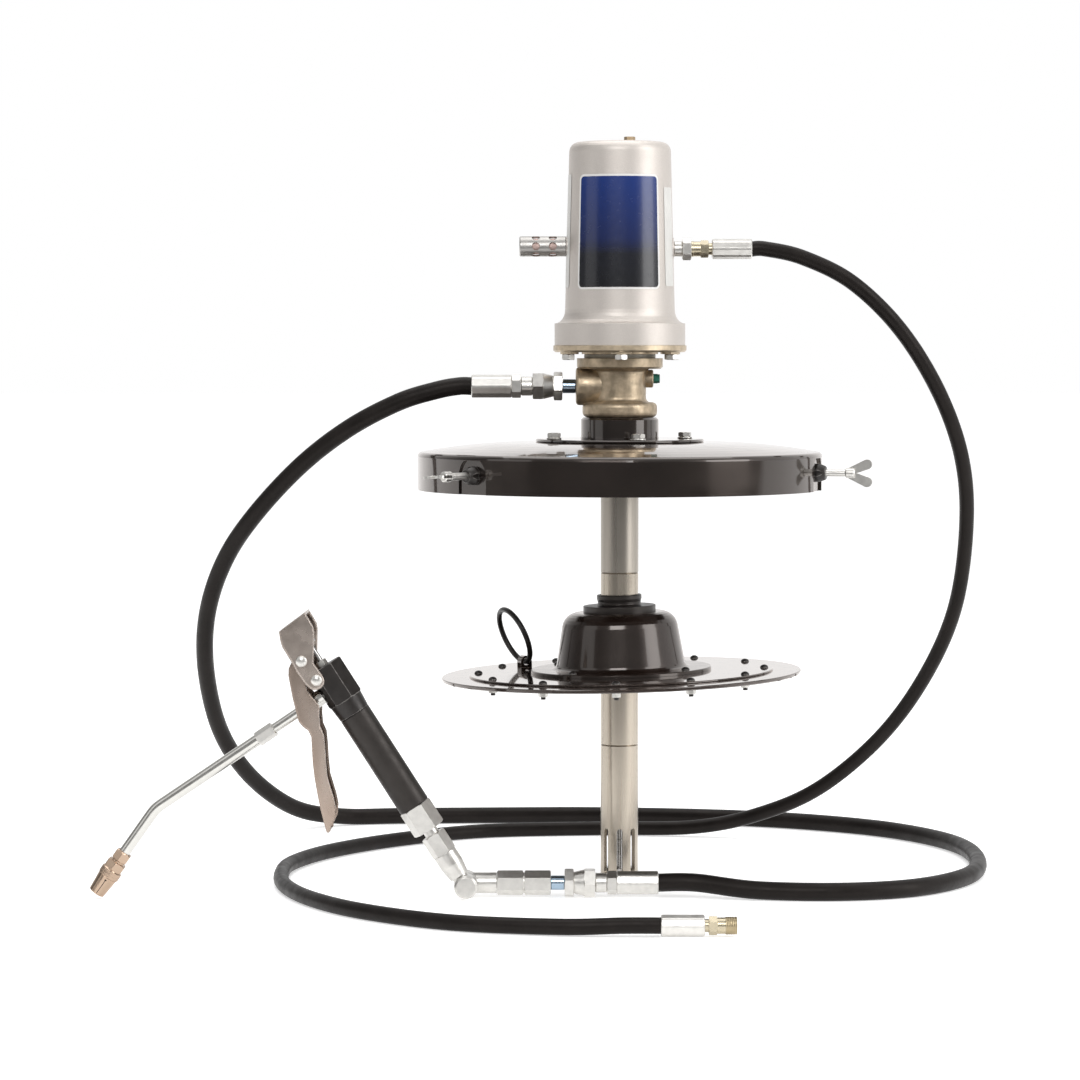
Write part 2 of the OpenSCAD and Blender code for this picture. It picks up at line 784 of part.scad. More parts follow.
module motor_base() {
    color("tan")
    translate([0, 0, base_z])
    difference() {
        union() {
            translate([0, 0, base_pad_h])
            lathe([
                [0, 0], [base_d / 2 - base_chamfer, 0], [base_d / 2, base_chamfer],
                [base_d / 2, base_t], [0, base_t]
            ]);
            cylinder(d = base_hub_d, h = base_pad_h);
            intersection() {
                around(base_bolt_count, base_bolt_circle / 2, -90)
                    cylinder(d = base_pad_d, h = base_pad_h + base_t / 2);
                cylinder(r = base_d / 2 - 1.5 * base_chamfer, h = base_pad_h + base_t / 2);
            }
        }
        translate([0, 0, -over])
            cylinder(r = piston_rod_d / 2 + run_gap, h = base_pad_h + base_t + 2 * over);
        around(base_bolt_count, base_bolt_circle / 2, -90)
            translate([0, 0, -over])
            cylinder(d = base_bolt_d + 2 * fit_gap, h = base_pad_h + base_t + 2 * over);
    }
}

module base_bolts() {
    color("lightsteelblue")
    around(base_bolt_count, base_bolt_circle / 2, -90)
    translate([0, 0, base_z]) {
        translate([0, 0, -bolt_head_h]) hex_bar(bolt_head_af, bolt_head_h);
        cylinder(d = base_bolt_d, h = base_bolt_len + base_pad_h);
    }
}

// Outlet and adapter

module outlet_body() {
    body_h = lower_ring_h + outlet_waist_h + upper_ring_h;
    upper = lower_ring_h + outlet_waist_h;
    color("tan")
    translate([0, 0, tube_top_z])
    difference() {
        union() {
            lathe(concat(
                [[0, 0]],
                arc(lower_ring_d / 2 - ring_round, ring_round, ring_round, -90, 0, 4),
                arc(lower_ring_d / 2 - ring_round, lower_ring_h - ring_round, ring_round, 0, 90, 4),
                arc(outlet_waist_d / 2 + ring_round, lower_ring_h + ring_round, ring_round, 270, 180, 4),
                arc(outlet_waist_d / 2 + ring_round, upper - ring_round, ring_round, 180, 90, 4),
                [
                    [upper_ring_d / 2 - base_chamfer, upper], [upper_ring_d / 2, upper + base_chamfer],
                    [upper_ring_d / 2, body_h], [0, body_h]
                ]
            ));
            translate([0, 0, outlet_rise]) rotate([0, -90, 0])
            lathe(concat(
                [[0, 0], [outlet_boss_d / 2, 0]],
                arc(outlet_boss_d / 2 - outlet_round, outlet_reach - outlet_round, outlet_round, 0, 90, 4),
                [[0, outlet_reach]]
            ));
            translate([0, 0, right_boss_rise]) rotate([0, 90, 0])
                bevelled(right_boss_d, right_boss_reach, ferrule_chamfer);
        }
        translate([0, 0, -over]) cylinder(r = bore_r, h = body_h - chamber_top + over);
        translate([0, 0, -over]) cylinder(r = piston_rod_d / 2 + free_gap, h = body_h + 2 * over);
        translate([0, 0, outlet_rise]) rotate([0, -90, 0])
            cylinder(d = outlet_passage_d, h = outlet_reach + over);
        translate([right_boss_reach - ground_shank_len, 0, right_boss_rise]) rotate([0, 90, 0])
            cylinder(d = ground_shank_d + 2 * fit_gap, h = ground_shank_len + over);
    }
}

module ground_screw() {
    color("seagreen")
    translate([right_boss_reach, 0, tube_top_z + right_boss_rise]) rotate([0, 90, 0])
    difference() {
        union() {
            hex_bar(ground_screw_d * cos(30), ground_screw_h, tube_chamfer);
            translate([0, 0, -ground_shank_len + fit_gap])
                cylinder(d = ground_shank_d, h = ground_shank_len);
        }
        translate([-ground_screw_d, -tube_chamfer, ground_screw_h - ground_screw_h / 3])
            cube([2 * ground_screw_d, 2 * tube_chamfer, ground_screw_h]);
    }
}

module adapter_collar() {
    color("dimgray")
    translate([0, 0, collar_z])
    lathe([
        [tube_r + fit_gap, 0], [collar_d / 2, 0], [collar_d / 2, collar_h - collar_chamfer],
        [collar_d / 2 - collar_chamfer, collar_h], [tube_r + fit_gap, collar_h]
    ]);
}

module adapter_plate() {
    color("dimgray")
    translate([0, 0, cover_top_z])
    difference() {
        pipe(adapter_plate_d / 2, tube_r + fit_gap, adapter_plate_t, tube_chamfer);
        adapter_holes(-over, adapter_plate_t + 2 * over);
    }
}

module adapter_holes(z, h) {
    around(adapter_bolt_count, adapter_bolt_circle / 2, adapter_bolt_phase)
        translate([0, 0, z]) cylinder(d = adapter_bolt_d + 2 * fit_gap, h = h);
}

module adapter_bolts() {
    color("gainsboro")
    around(adapter_bolt_count, adapter_bolt_circle / 2, adapter_bolt_phase)
    translate([0, 0, collar_z]) {
        bevelled(adapter_flange_d, adapter_flange_t, adapter_flange_t / 3);
        translate([0, 0, adapter_flange_t]) hex_bar(bolt_head_af, adapter_head_h);
        translate([0, 0, -adapter_plate_t - adapter_bolt_tail])
            cylinder(d = adapter_bolt_d, h = adapter_plate_t + adapter_bolt_tail);
    }
}

// Height of the cover's outer face below its centre, at the radius r
function cover_drop(r) =
    r < cover_flat_r ? 0 :
    cover_rise * pow((r - cover_flat_r) / (cover_d / 2 - cover_edge_r - cover_flat_r), 2);

// Points of the cover's domed part, from its flat middle to its edge
function cover_line(below) = [
    for (i = [0:dome_steps])
        let (r = cover_flat_r + (cover_d / 2 - cover_edge_r - cover_flat_r) * i / dome_steps)
        [r, -cover_drop(r) - below]
];
function backwards(p) = [for (i = [len(p) - 1:-1:0]) p[i]];

// A clamp pad's outline in the skirt, seen from outside: straight sides under an arched top
module pad_outline(grow) {
    depth = cover_rise + rim_h;
    spring = cover_rise + pad_top_gap + pad_w / 2 - pad_arch_flat;
    intersection() {
        union() {
            translate([spring, 0]) circle(d = pad_w + 2 * grow);
            translate([spring, -pad_w / 2 - grow]) square([depth + over - spring, pad_w + 2 * grow]);
        }
        translate([cover_rise + pad_top_gap - grow, -pad_w]) square([depth, 2 * pad_w]);
    }
}

module cover() {
    edge = cover_d / 2 - cover_edge_r;
    depth = cover_rise + rim_h;
    color("dimgray")
    translate([0, 0, cover_top_z])
    difference() {
        union() {
            lathe(concat(
                [[cover_d / 2, -depth]],
                arc(edge, -cover_rise - cover_edge_r, cover_edge_r, 0, 80, 4),
                backwards(cover_line(0)),
                [[tube_r + fit_gap, 0], [tube_r + fit_gap, -cover_t]],
                cover_line(cover_t),
                arc(edge, -cover_rise - cover_edge_r, cover_edge_r - cover_t, 80, 0, 4),
                [[cover_d / 2 - cover_t, -depth]]
            ));
            intersection() {
                around(clamp_count, 0, clamp_phase)
                    translate([cover_d / 2 - pad_depth - cover_t, 0, 0]) rotate([0, 90, 0])
                    linear_extrude(pad_depth + cover_t - over) pad_outline(cover_t);
                translate([0, 0, -depth]) cylinder(d = cover_d - over, h = depth);
            }
        }
        around(clamp_count, 0, clamp_phase) {
            translate([cover_d / 2 - pad_depth, 0, 0]) rotate([0, 90, 0])
                linear_extrude(pad_w) pad_outline(0);
            translate([0, 0, -clamp_z_drop()]) rotate([0, 90, 0])
                translate([0, 0, cover_d / 2 - pad_w])
                cylinder(r = clamp_screw_d / 2 + clamp_hole_gap, h = 2 * pad_w);
        }
        adapter_holes(-2 * cover_t, 3 * cover_t);
    }
}

// Depth of the clamp screws below the cover's centre
function clamp_z_drop() = cover_rise + clamp_drop * rim_h;

module at_clamp(i) {
    rotate([0, 0, clamp_phase + 360 * i / clamp_count])
        translate([cover_d / 2 - pad_depth, 0, cover_top_z - clamp_z_drop()])
        rotate([0, 90, 0]) children();
}

module clamp_nuts() {
    color("dimgray")
    for (i = [0:clamp_count - 1])
        at_clamp(i)
        difference() {
            lathe([
                [0, 0], [clamp_nut_d / 2, 0], [clamp_nut_d / 2, clamp_nut_len / 3],
                [clamp_nut_tip_d / 2, clamp_nut_len - tube_chamfer],
                [clamp_nut_tip_d / 2 - tube_chamfer, clamp_nut_len], [0, clamp_nut_len]
            ]);
            around(clamp_groove_count, clamp_groove_r)
                translate([0, 0, -over]) cylinder(d = clamp_groove_d, h = clamp_nut_len + 2 * over);
            translate([0, 0, -over])
                cylinder(r = clamp_screw_d / 2 + run_gap, h = clamp_nut_len + 2 * over);
        }
}

// One flat wing, a tapered bar from the hub to its rounded end
module wing_outline() {
    far = [wing_reach - wing_end_d / 2, wing_spread / 2 - wing_end_d / 2];
    near = [0, wing_base_d / 4];
    side = unit([far[0] - near[0], far[1] - near[1]]);
    across = [-side[1], side[0]];
    translate(far) circle(d = wing_end_d);
    translate(near) circle(d = wing_base_d);
    polygon([
        far + across * wing_end_d / 2, far - across * wing_end_d / 2,
        near - across * wing_base_d / 2, near + across * wing_base_d / 2
    ]);
}

module wing_screw(i) {
    color("gainsboro")
    at_clamp(i) {
        translate([0, 0, -clamp_tip_in])
            bevelled(clamp_screw_d, wing_root + clamp_tip_in + wing_hub_len, tube_chamfer);
        translate([0, 0, wing_root]) bevelled(wing_hub_d, wing_hub_len, ferrule_chamfer);
        translate([0, 0, wing_root + wing_hub_len / 2]) rotate([0, -90, wing_turns[i]])
            translate([0, 0, -wing_t / 2])
            linear_extrude(wing_t) {
                wing_outline();
                mirror([0, 1]) wing_outline();
            }
    }
}

module wing_screw_right() { wing_screw(0); }
module wing_screw_left() { wing_screw(2); }
module wing_screw_rear() { wing_screw(1); }

// Pump tube and its rods

module riser_tube() {
    color("silver")
    translate([0, 0, riser_z]) pipe(tube_r, bore_r, riser_len, tube_chamfer);
}

module lower_cylinder() {
    color("gainsboro")
    translate([0, 0, lower_z]) {
        pipe(tube_r, bore_r, lower_len, tube_chamfer);
        pipe(bore_r + tube_wall / 2, seat_r, seat_h, tube_chamfer);
    }
}

module intake_tube() {
    slot_r = slot_w / 2;
    color("silver")
    difference() {
        pipe(tube_r, bore_r, intake_len, tube_chamfer);
        for (i = [0:slot_count / 2 - 1])
            rotate([0, 0, 360 * i / slot_count]) {
                translate([-tube_r - over, -slot_r, slot_foot + slot_r])
                    cube([2 * tube_r + 2 * over, slot_w, slot_h - slot_w]);
                for (z = [slot_foot + slot_r, slot_foot + slot_h - slot_r])
                    translate([-tube_r - over, 0, z]) rotate([0, 90, 0])
                    cylinder(r = slot_r, h = 2 * tube_r + 2 * over);
            }
    }
}

module air_piston() {
    groove_z = (piston_h - piston_groove_h) / 2;
    edge = cylinder_r - piston_edge_gap;
    color("slategray")
    translate([0, 0, bell_z + piston_rest])
    lathe([
        [trip_rod_d / 2 + trip_bore_gap, 0], [edge, 0], [edge, groove_z],
        [edge - piston_groove_d, groove_z], [edge - piston_groove_d, groove_z + piston_groove_h],
        [edge, groove_z + piston_groove_h], [edge, piston_h], [trip_rod_d / 2 + trip_bore_gap, piston_h]
    ]);
}

module piston_seal() {
    groove_z = (piston_h - piston_groove_h) / 2;
    edge = cylinder_r - piston_edge_gap;
    color("black")
    translate([0, 0, bell_z + piston_rest + groove_z])
    pipe(cylinder_r - run_gap, edge - piston_groove_d, piston_groove_h, tube_chamfer);
}

module piston_rod() {
    color("lightsteelblue")
    translate([0, 0, rod_joint_z])
    difference() {
        bevelled(piston_rod_d, bell_z + piston_rest - rod_joint_z, tube_chamfer);
        translate([0, 0, trip_bore_z - rod_joint_z])
            cylinder(r = trip_rod_d / 2 + trip_bore_gap, h = stroke + bell_z);
    }
}

module pump_plunger() {
    color("lightsteelblue") {
        translate([0, 0, plunger_z]) bevelled(2 * (bore_r - run_gap), plunger_h, tube_chamfer);
        translate([0, 0, plunger_z]) cylinder(d = displacement_rod_d, h = rod_joint_z - plunger_z);
    }
}

module priming_rod() {
    color("gainsboro") {
        translate([0, 0, shovel_z]) cylinder(d = priming_rod_d, h = plunger_z - shovel_z);
        translate([0, 0, shovel_z]) bevelled(2 * (bore_r - free_gap), shovel_t, tube_chamfer);
    }
}

module trip_rod() {
    low = bell_z + piston_rest + piston_h - trip_overlap;
    head = bell_top_z - crown_t - trip_head_drop;
    color("goldenrod") {
        translate([0, 0, low]) cylinder(d = trip_rod_d, h = head - low + trip_head_h);
        translate([0, 0, head]) bevelled(trip_head_d, trip_head_h, tube_chamfer);
    }
}

module intake_check() {
    color("gold")
    translate([0, 0, lower_z + seat_h + fit_gap])
    pipe(check_r, priming_rod_d / 2 + free_gap, check_t, tube_chamfer);
}

// Follower

module follower_seal() {
    inner = tube_r + seal_gap;
    lip = inner + seal_lip_t;
    waist = inner + seal_waist_t;
    color("dimgray")
    follower_place()
    lathe(concat(
        [[inner, 0], [seal_flange_d / 2, 0]],
        arc(seal_flange_d / 2 - tube_chamfer, seal_flange_h - tube_chamfer, tube_chamfer, 0, 90, 3),
        arc(waist + seal_waist_t, seal_flange_h + seal_waist_t, seal_waist_t, 270, 180, 4),
        [
            [waist, seal_h - seal_lip_h - seal_lip_t], [lip, seal_h - seal_lip_h],
            [lip, seal_h - tube_chamfer], [lip - tube_chamfer, seal_h], [inner, seal_h]
        ]
    ));
}

module follower_dome() {
    hole = tube_r + dome_hole_gap;
    inset = dome_shoulder_r;
    slope = (dome_foot_d - dome_top_d) / 2;
    foot = dome_h - dome_flange_t;
    flare = dome_t + dome_flange_t;
    color("dimgray")
    follower_place()
    difference() {
        lathe(concat(
            [[hole, 0], [dome_top_d / 2 - inset, 0]],
            arc(dome_top_d / 2 - inset, -inset, inset, 90, 10, 6),
            arc(dome_foot_d / 2 + flare, -foot + flare, flare, 190, 270, 4),
            [
                [dome_flange_d / 2 - tube_chamfer, -foot], [dome_flange_d / 2, -foot - tube_chamfer],
                [dome_flange_d / 2, -dome_h], [dome_foot_d / 2 - dome_t, -dome_h]
            ],
            arc(dome_top_d / 2 - inset, -inset, inset - dome_t, 10, 90, 6),
            [[hole, -dome_t]]
        ));
        around(dome_bolt_count, dome_bolt_r(), dome_bolt_phase)
            translate([0, 0, -dome_h - over])
            cylinder(d = follower_bolt_d + 2 * fit_gap, h = dome_flange_t + 2 * over);
    }
}

function dome_bolt_r() = (dome_foot_d / 2 + dome_flange_d / 2) / 2 + dome_t;

module follower_disc(d, t, drop) {
    translate([0, 0, -drop - t])
    difference() {
        pipe(d / 2, plate_hole_d / 2, t, t / 4);
        around(follower_bolt_count, follower_bolt_circle / 2, follower_bolt_phase)
            translate([0, 0, -over]) cylinder(d = follower_bolt_d + 2 * fit_gap, h = t + 2 * over);
        around(dome_bolt_count, dome_bolt_r(), dome_bolt_phase)
            translate([0, 0, -over]) cylinder(d = follower_bolt_d + 2 * fit_gap, h = t + 2 * over);
    }
}

module follower_upper_plate() {
    color("lightgray") follower_place() follower_disc(plate_d, plate_t, dome_h);
}

module follower_wiper() {
    color("gray") follower_place() follower_disc(wiper_d, wiper_t, dome_h + plate_t);
}

module follower_lower_plate() {
    color("dimgray") follower_place() follower_disc(plate_d, plate_t, dome_h + plate_t + wiper_t);
}

// A domed bolt whose seat is at the given depth, with its shank down to the nuts
module follower_bolt(seat) {
    low = dome_h + 2 * plate_t + wiper_t + follower_tail;
    translate([0, 0, -seat]) domed(follower_head_d, follower_head_h);
    translate([0, 0, -low]) cylinder(d = follower_bolt_d, h = low - seat);
}

module follower_bolts() {
    color("dimgray")
    follower_place() {
        around(follower_bolt_count, follower_bolt_circle / 2, follower_bolt_phase) follower_bolt(dome_h);
        around(dome_bolt_count, dome_bolt_r(), dome_bolt_phase) follower_bolt(dome_h - dome_flange_t);
    }
}

module follower_nut() {
    translate([0, 0, -dome_h - 2 * plate_t - wiper_t - follower_nut_h])
    difference() {
        hex_bar(follower_nut_af, follower_nut_h, tube_chamfer);
        translate([0, 0, -over]) cylinder(d = follower_bolt_d + 2 * fit_gap, h = follower_nut_h + 2 * over);
    }
}

module follower_nuts() {
    color("gainsboro")
    follower_place() {
        around(follower_bolt_count, follower_bolt_circle / 2, follower_bolt_phase) follower_nut();
        around(dome_bolt_count, dome_bolt_r(), dome_bolt_phase) follower_nut();
    }
}

// The lift ring's eye, above the upper plate
module clip_place() {
    eye = lift_ring_bar_d / 2 + clip_gap + clip_wall;
    follower_place() translate([clip_x, clip_y, -dome_h + eye]) children();
}

module ring_clip() {
    hole_r = lift_ring_bar_d / 2 + clip_gap;
    side = hole_r + clip_wall;
    color("dimgray")
    clip_place()
    rotate([0, 0, clip_turn])
    difference() {
        union() {
            rotate([90, 0, 0]) cylinder(r = side, h = clip_w, center = true);
            translate([-side, -clip_w / 2, -side]) cube([2 * side, clip_w, side]);
        }
        rotate([90, 0, 0]) cylinder(r = hole_r, h = clip_w + 2 * over, center = true);
    }
}

module lift_ring() {
    ring_r = (lift_ring_d - lift_ring_bar_d) / 2;
    color("dimgray")
    clip_place()
    rotate([0, 0, clip_turn])
    rotate([0, -ring_lean, 0])
    translate([0, 0, ring_r])
    rotate([0, 90, 0])
    rotate_extrude() translate([ring_r, 0]) circle(d = lift_ring_bar_d);
}

// Hose chains

module union_nipples() {
    color("lightsteelblue") at_chains() bevelled(nipple_d, nipple_len, tube_chamfer);
}

module hose_unions() {
    color("gainsboro")
    at_chains()
    translate([0, 0, union_z]) rotate([0, 0, union_turn]) hex_bar(union_af, union_hex_len);
}

module hose_swivel_nuts() {
    color("gainsboro")
    at_chains() {
        translate([0, 0, union_cone_z])
            lathe([
                [0, 0], [union_cone_d / 2, 0], [nut_shoulder_d / 2, union_cone_len], [0, union_cone_len]
            ]);
        translate([0, 0, swivel_nut_z]) rotate([0, 0, nut_turn]) hex_bar(swivel_nut_af, swivel_nut_len);
    }
}

module grease_hose_stems() {
    color("gainsboro")
    at_chains()
    translate([0, 0, stem_z]) {
        bevelled(stem_d, stem_len, ferrule_chamfer);
        translate([0, 0, stem_len]) hex_bar(stem_af, stem_hex_len, ferrule_chamfer);
    }
}

module grease_hose_ferrules() {
    color("gainsboro")
    at_chains() translate([0, 0, ferrule_z]) crimped(ferrule_d, ferrule_len);
}

module air_hose_ferrules() {
    color("gainsboro")
    at_air_ends() mirror([0, 0, 1]) crimped(air_ferrule_d, air_ferrule_len);
}

module air_hose_stems() {
    color("khaki")
    at_air_ends() {
        cylinder(d = air_neck_d, h = air_neck_len);
        translate([0, 0, air_neck_len]) hex_bar(air_hex_af, air_hex_len, ferrule_chamfer);
        translate([0, 0, air_neck_len + air_hex_len]) cylinder(d = air_shank_d, h = air_shank_len);
        translate([0, 0, air_stem_len - air_thread_len]) cylinder(d = air_thread_d, h = air_thread_len);
    }
}

module grease_hose() {
    color("dimgray") swept(rings_of(grease_route, 72), grease_hose_d / 2);
}

module air_hose() {
    color("dimgray") swept(rings_of(air_route, 72), air_hose_d / 2);
}

// Swivel between the grease hose and the gun

module swivel_inlet() {
    color("gainsboro")
    translate([far_chain_x, far_chain_y, far_chain_z]) rotate([0, -90, 0])
    difference() {
        union() {
            hex_bar(inlet_hex_d * cos(30), inlet_hex_len);
            translate([0, 0, inlet_hex_len]) cylinder(d = inlet_groove_d, h = inlet_groove_len);
            translate([0, 0, inlet_hex_len + inlet_groove_len])
                hex_bar(inlet_hex_d * cos(30), inlet_hex_len);
        }
        translate([0, 0, inlet_hex_len])
            cylinder(r = swivel_pin_d / 2 + run_gap, h = inlet_hex_len + inlet_groove_len + over);
    }
}

module swivel_elbow() {
    stub_x = swivel_inlet_x - swivel_gap;
    depth = far_chain_y - gun_y;
    color("gainsboro")
    translate([gun_x, far_chain_y, far_chain_z])
    difference() {
        union() {
            translate([0, swivel_r, 0]) rotate([90, 0, 0])
                bevelled(2 * swivel_r, depth + swivel_r - yoke_half - swivel_gap, nut_chamfer);
            rotate([0, 90, 0]) cylinder(d = swivel_stub_d, h = stub_x - gun_x);
            rotate([0, 90, 0]) cylinder(d = swivel_pin_d, h = stub_x - gun_x + inlet_hex_len - over);
        }
        rotate([90, 0, 0]) translate([0, 0, -swivel_r / 2])
            cylinder(r = swivel_pin_d / 2 + run_gap, h = depth + swivel_r);
    }
}

module swivel_yoke() {
    depth = far_chain_y - gun_y;
    color("gainsboro")
    union() {
        translate([gun_x, gun_y, gun_z]) {
            translate([0, yoke_half, 0]) rotate([90, 0, 0])
                bevelled(2 * swivel_r, 2 * yoke_half, nut_chamfer);
            translate([0, -yoke_half, 0]) rotate([90, 0, 0])
                bevelled(yoke_cap_d, yoke_cap_len, yoke_cap_len / 2);
            rotate([-90, 0, 0]) cylinder(d = swivel_pin_d, h = depth + swivel_r / 2 - over);
        }
        gun_place() cylinder(d = yoke_neck_d, h = yoke_neck - swivel_gap);
        gun_place() cylinder(d = swivel_pin_d, h = yoke_neck + adapter_cone_len / 2);
    }
}

// Gun

module gun_adapter() {
    color("gainsboro")
    gun_place()
    translate([0, 0, yoke_neck])
    difference() {
        union() {
            lathe([
                [0, 0], [adapter_cone_d1 / 2, 0], [adapter_cone_d2 / 2, adapter_cone_len / 2],
                [adapter_cone_d2 / 2, adapter_cone_len], [0, adapter_cone_len]
            ]);
            translate([0, 0, adapter_cone_len]) hex_bar(adapter_hex_af, adapter_hex_len);
            translate([0, 0, adapter_cone_len + adapter_hex_len])
                cylinder(d = adapter_neck_d, h = adapter_neck_len);
        }
        translate([0, 0, -over]) cylinder(d = adapter_bore_d, h = end_nut_z);
        translate([0, 0, -over])
            cylinder(r = swivel_pin_d / 2 + run_gap, h = adapter_cone_len / 2 + 2 * over);
    }
}

module gun_nuts() {
    color("gainsboro") {
        gun_place() translate([0, 0, end_nut_z])
        difference() {
            hex_bar(end_nut_af, end_nut_len);
            translate([0, 0, -over]) cylinder(d = adapter_bore_d, h = end_nut_len);
            translate([0, 0, end_nut_len / 2]) cylinder(d = core_d + 2 * fit_gap, h = end_nut_len);
        }
        gun_place() translate([-stem_out, 0, body_top_z])
        difference() {
            hex_bar(gland_af, gland_h, tube_chamfer);
            translate([0, 0, -over]) cylinder(r = valve_stem_d / 2 + run_gap, h = gland_h + 2 * over);
        }
        nozzle_place() translate([0, 0, nozzle_rod_len])
        difference() {
            hex_bar(nozzle_nut_af, nozzle_nut_len, ferrule_chamfer);
            translate([0, 0, -over]) cylinder(d = nozzle_rod_d + 2 * fit_gap, h = nozzle_nut_len + 2 * over);
        }
    }
}

module gun_grip() {
    color("dimgray")
    gun_place() translate([0, 0, grip_z])
    pipe(grip_d / 2, core_d / 2 + fit_gap, grip_len, ferrule_chamfer);
}

module gun_body() {
    color("dimgray")
    gun_place()
    difference() {
        union() {
            translate([0, 0, end_nut_z + end_nut_len / 2])
                cylinder(d = core_d, h = body_z - end_nut_z - end_nut_len / 2);
            translate([0, 0, taper_z])
                cylinder(d1 = grip_d, d2 = corner(body_af) + grip_d / 2, h = body_taper_len);
            translate([0, 0, body_z]) hex_bar(body_af, body_len);
        }
        translate([-pivot_out, 0, body_z + pivot_rise]) rotate([90, 0, 0])
            cylinder(d = pivot_d + 2 * fit_gap, h = 2 * body_af, center = true);
        translate([-stem_out, 0, body_top_z - valve_stem_sink - over])
            cylinder(r = valve_stem_d / 2 + run_gap, h = valve_stem_sink + 2 * over);
        translate([0, 0, body_z + nozzle_rise]) rotate([0, -90 - nozzle_dip, 0]) {
            translate([0, 0, body_af / 2 - nozzle_sink])
                cylinder(d = nozzle_rod_d + 2 * fit_gap, h = body_af);
            translate([0, 0, body_af / 2]) cylinder(d = nozzle_collar_d + 2 * free_gap, h = body_af);
        }
    }
}

module gun_nozzle() {
    tube_z = nozzle_rod_len + nozzle_nut_len;
    arc_z = nozzle_len - bend_r * tan(nozzle_bend / 2);
    face_z = body_af / 2;
    sink_z = body_af / 2 - nozzle_sink + fit_gap;
    color("gainsboro") {
        nozzle_place() {
            translate([0, 0, face_z]) bevelled(nozzle_collar_d, nozzle_collar_out - face_z, ferrule_chamfer);
            translate([0, 0, sink_z]) cylinder(d = nozzle_rod_d, h = tube_z + over - sink_z);
            translate([0, 0, tube_z]) cylinder(d = nozzle_d, h = arc_z - tube_z);
            translate([0, 0, arc_z - over]) cylinder(d = nozzle_bore_d, h = 2 * over);
            translate([-bend_r, 0, arc_z]) rotate([90, 0, 0])
                rotate_extrude(angle = nozzle_bend) translate([bend_r, 0]) circle(d = nozzle_d);
        }
        nozzle_end_place() {
            cylinder(d = nozzle_d, h = nozzle_end_len - bend_r * tan(nozzle_bend / 2) - coupler_len);
            translate([0, 0, -over]) cylinder(d = nozzle_bore_d, h = 2 * over);
        }
    }
}

module grease_coupler() {
    start = nozzle_end_len - bend_r * tan(nozzle_bend / 2) - coupler_len;
    barrel_z = coupler_collar_len + coupler_hex_len;
    nose_z = barrel_z + coupler_barrel_len;
    nose_len = coupler_len - nose_z;
    color("rosybrown")
    nozzle_end_place()
    translate([0, 0, start])
    difference() {
        union() {
            bevelled(coupler_collar_d, coupler_collar_len, ferrule_chamfer);
            translate([0, 0, coupler_collar_len])
                hex_bar(coupler_hex_af, coupler_hex_len, ferrule_chamfer);
            translate([0, 0, barrel_z]) bevelled(coupler_barrel_d, coupler_barrel_len, nut_chamfer);
            translate([0, 0, nose_z])
            lathe([
                [0, 0], [coupler_barrel_d / 2 - nut_chamfer, 0], [coupler_nose_d / 2, nut_chamfer],
                [coupler_nose_d / 2, nose_len - tube_chamfer],
                [coupler_nose_d / 2 - tube_chamfer, nose_len], [0, nose_len]
            ]);
        }
        translate([0, 0, coupler_len - coupler_mouth_depth])
            cylinder(d = coupler_mouth_d, h = coupler_mouth_depth + over);
    }
}

// A pin across the trigger, with a domed head at each end
module cross_pin(d, out, rise) {
    half = trigger_w / 2 + trigger_t + fit_gap;
    gun_place() translate([-out, 0, body_z + rise]) {
        rotate([90, 0, 0]) cylinder(d = d, h = 2 * half, center = true);
        for (side = [0, 1]) mirror([0, side, 0])
            translate([0, half, 0]) rotate([-90, 0, 0]) domed(pivot_head_d, pivot_head_t);
    }
}

module trigger_pin() { color("gainsboro") cross_pin(pivot_d, pivot_out, pivot_rise); }
module trigger_rivet() { color("gainsboro") cross_pin(pivot_d, rivet_out, rivet_rise); }

module trigger_head() {
    outline = [for (s = head_shares) [-s[1] * head_depth, body_z + head_rise + s[0] * head_h]];
    inner = [for (s = head_shares) [-s[1] * head_depth, body_z + head_rise + s[0] * head_h - trigger_t]];
    width = trigger_w + 2 * trigger_t;
    tab_z = body_z + stem_head_rise - lift_tab_gap - lift_tab_t;
    color("tan")
    gun_place() {
        difference() {
            rotate([90, 0, 0]) linear_extrude(width, center = true) polygon(outline);
            rotate([90, 0, 0]) linear_extrude(trigger_w, center = true) {
                polygon(inner);
                translate([-head_depth - over, body_z])
                    square([head_depth + trigger_w, head_rise + head_h * head_open_share]);
            }
            for (place = [[pivot_out, pivot_rise, run_gap], [rivet_out, rivet_rise, fit_gap]])
                translate([-place[0], 0, body_z + place[1]]) rotate([90, 0, 0])
                cylinder(r = pivot_d / 2 + place[2], h = width + 2 * over, center = true);
        }
        for (side = [0, 1]) mirror([0, side, 0])
            translate([-lift_tab_out, lift_tab_half_slot, tab_z])
            cube([
                lift_tab_out + lift_tab_in, trigger_w / 2 + trigger_t / 2 - lift_tab_half_slot, lift_tab_t
            ]);
    }
}

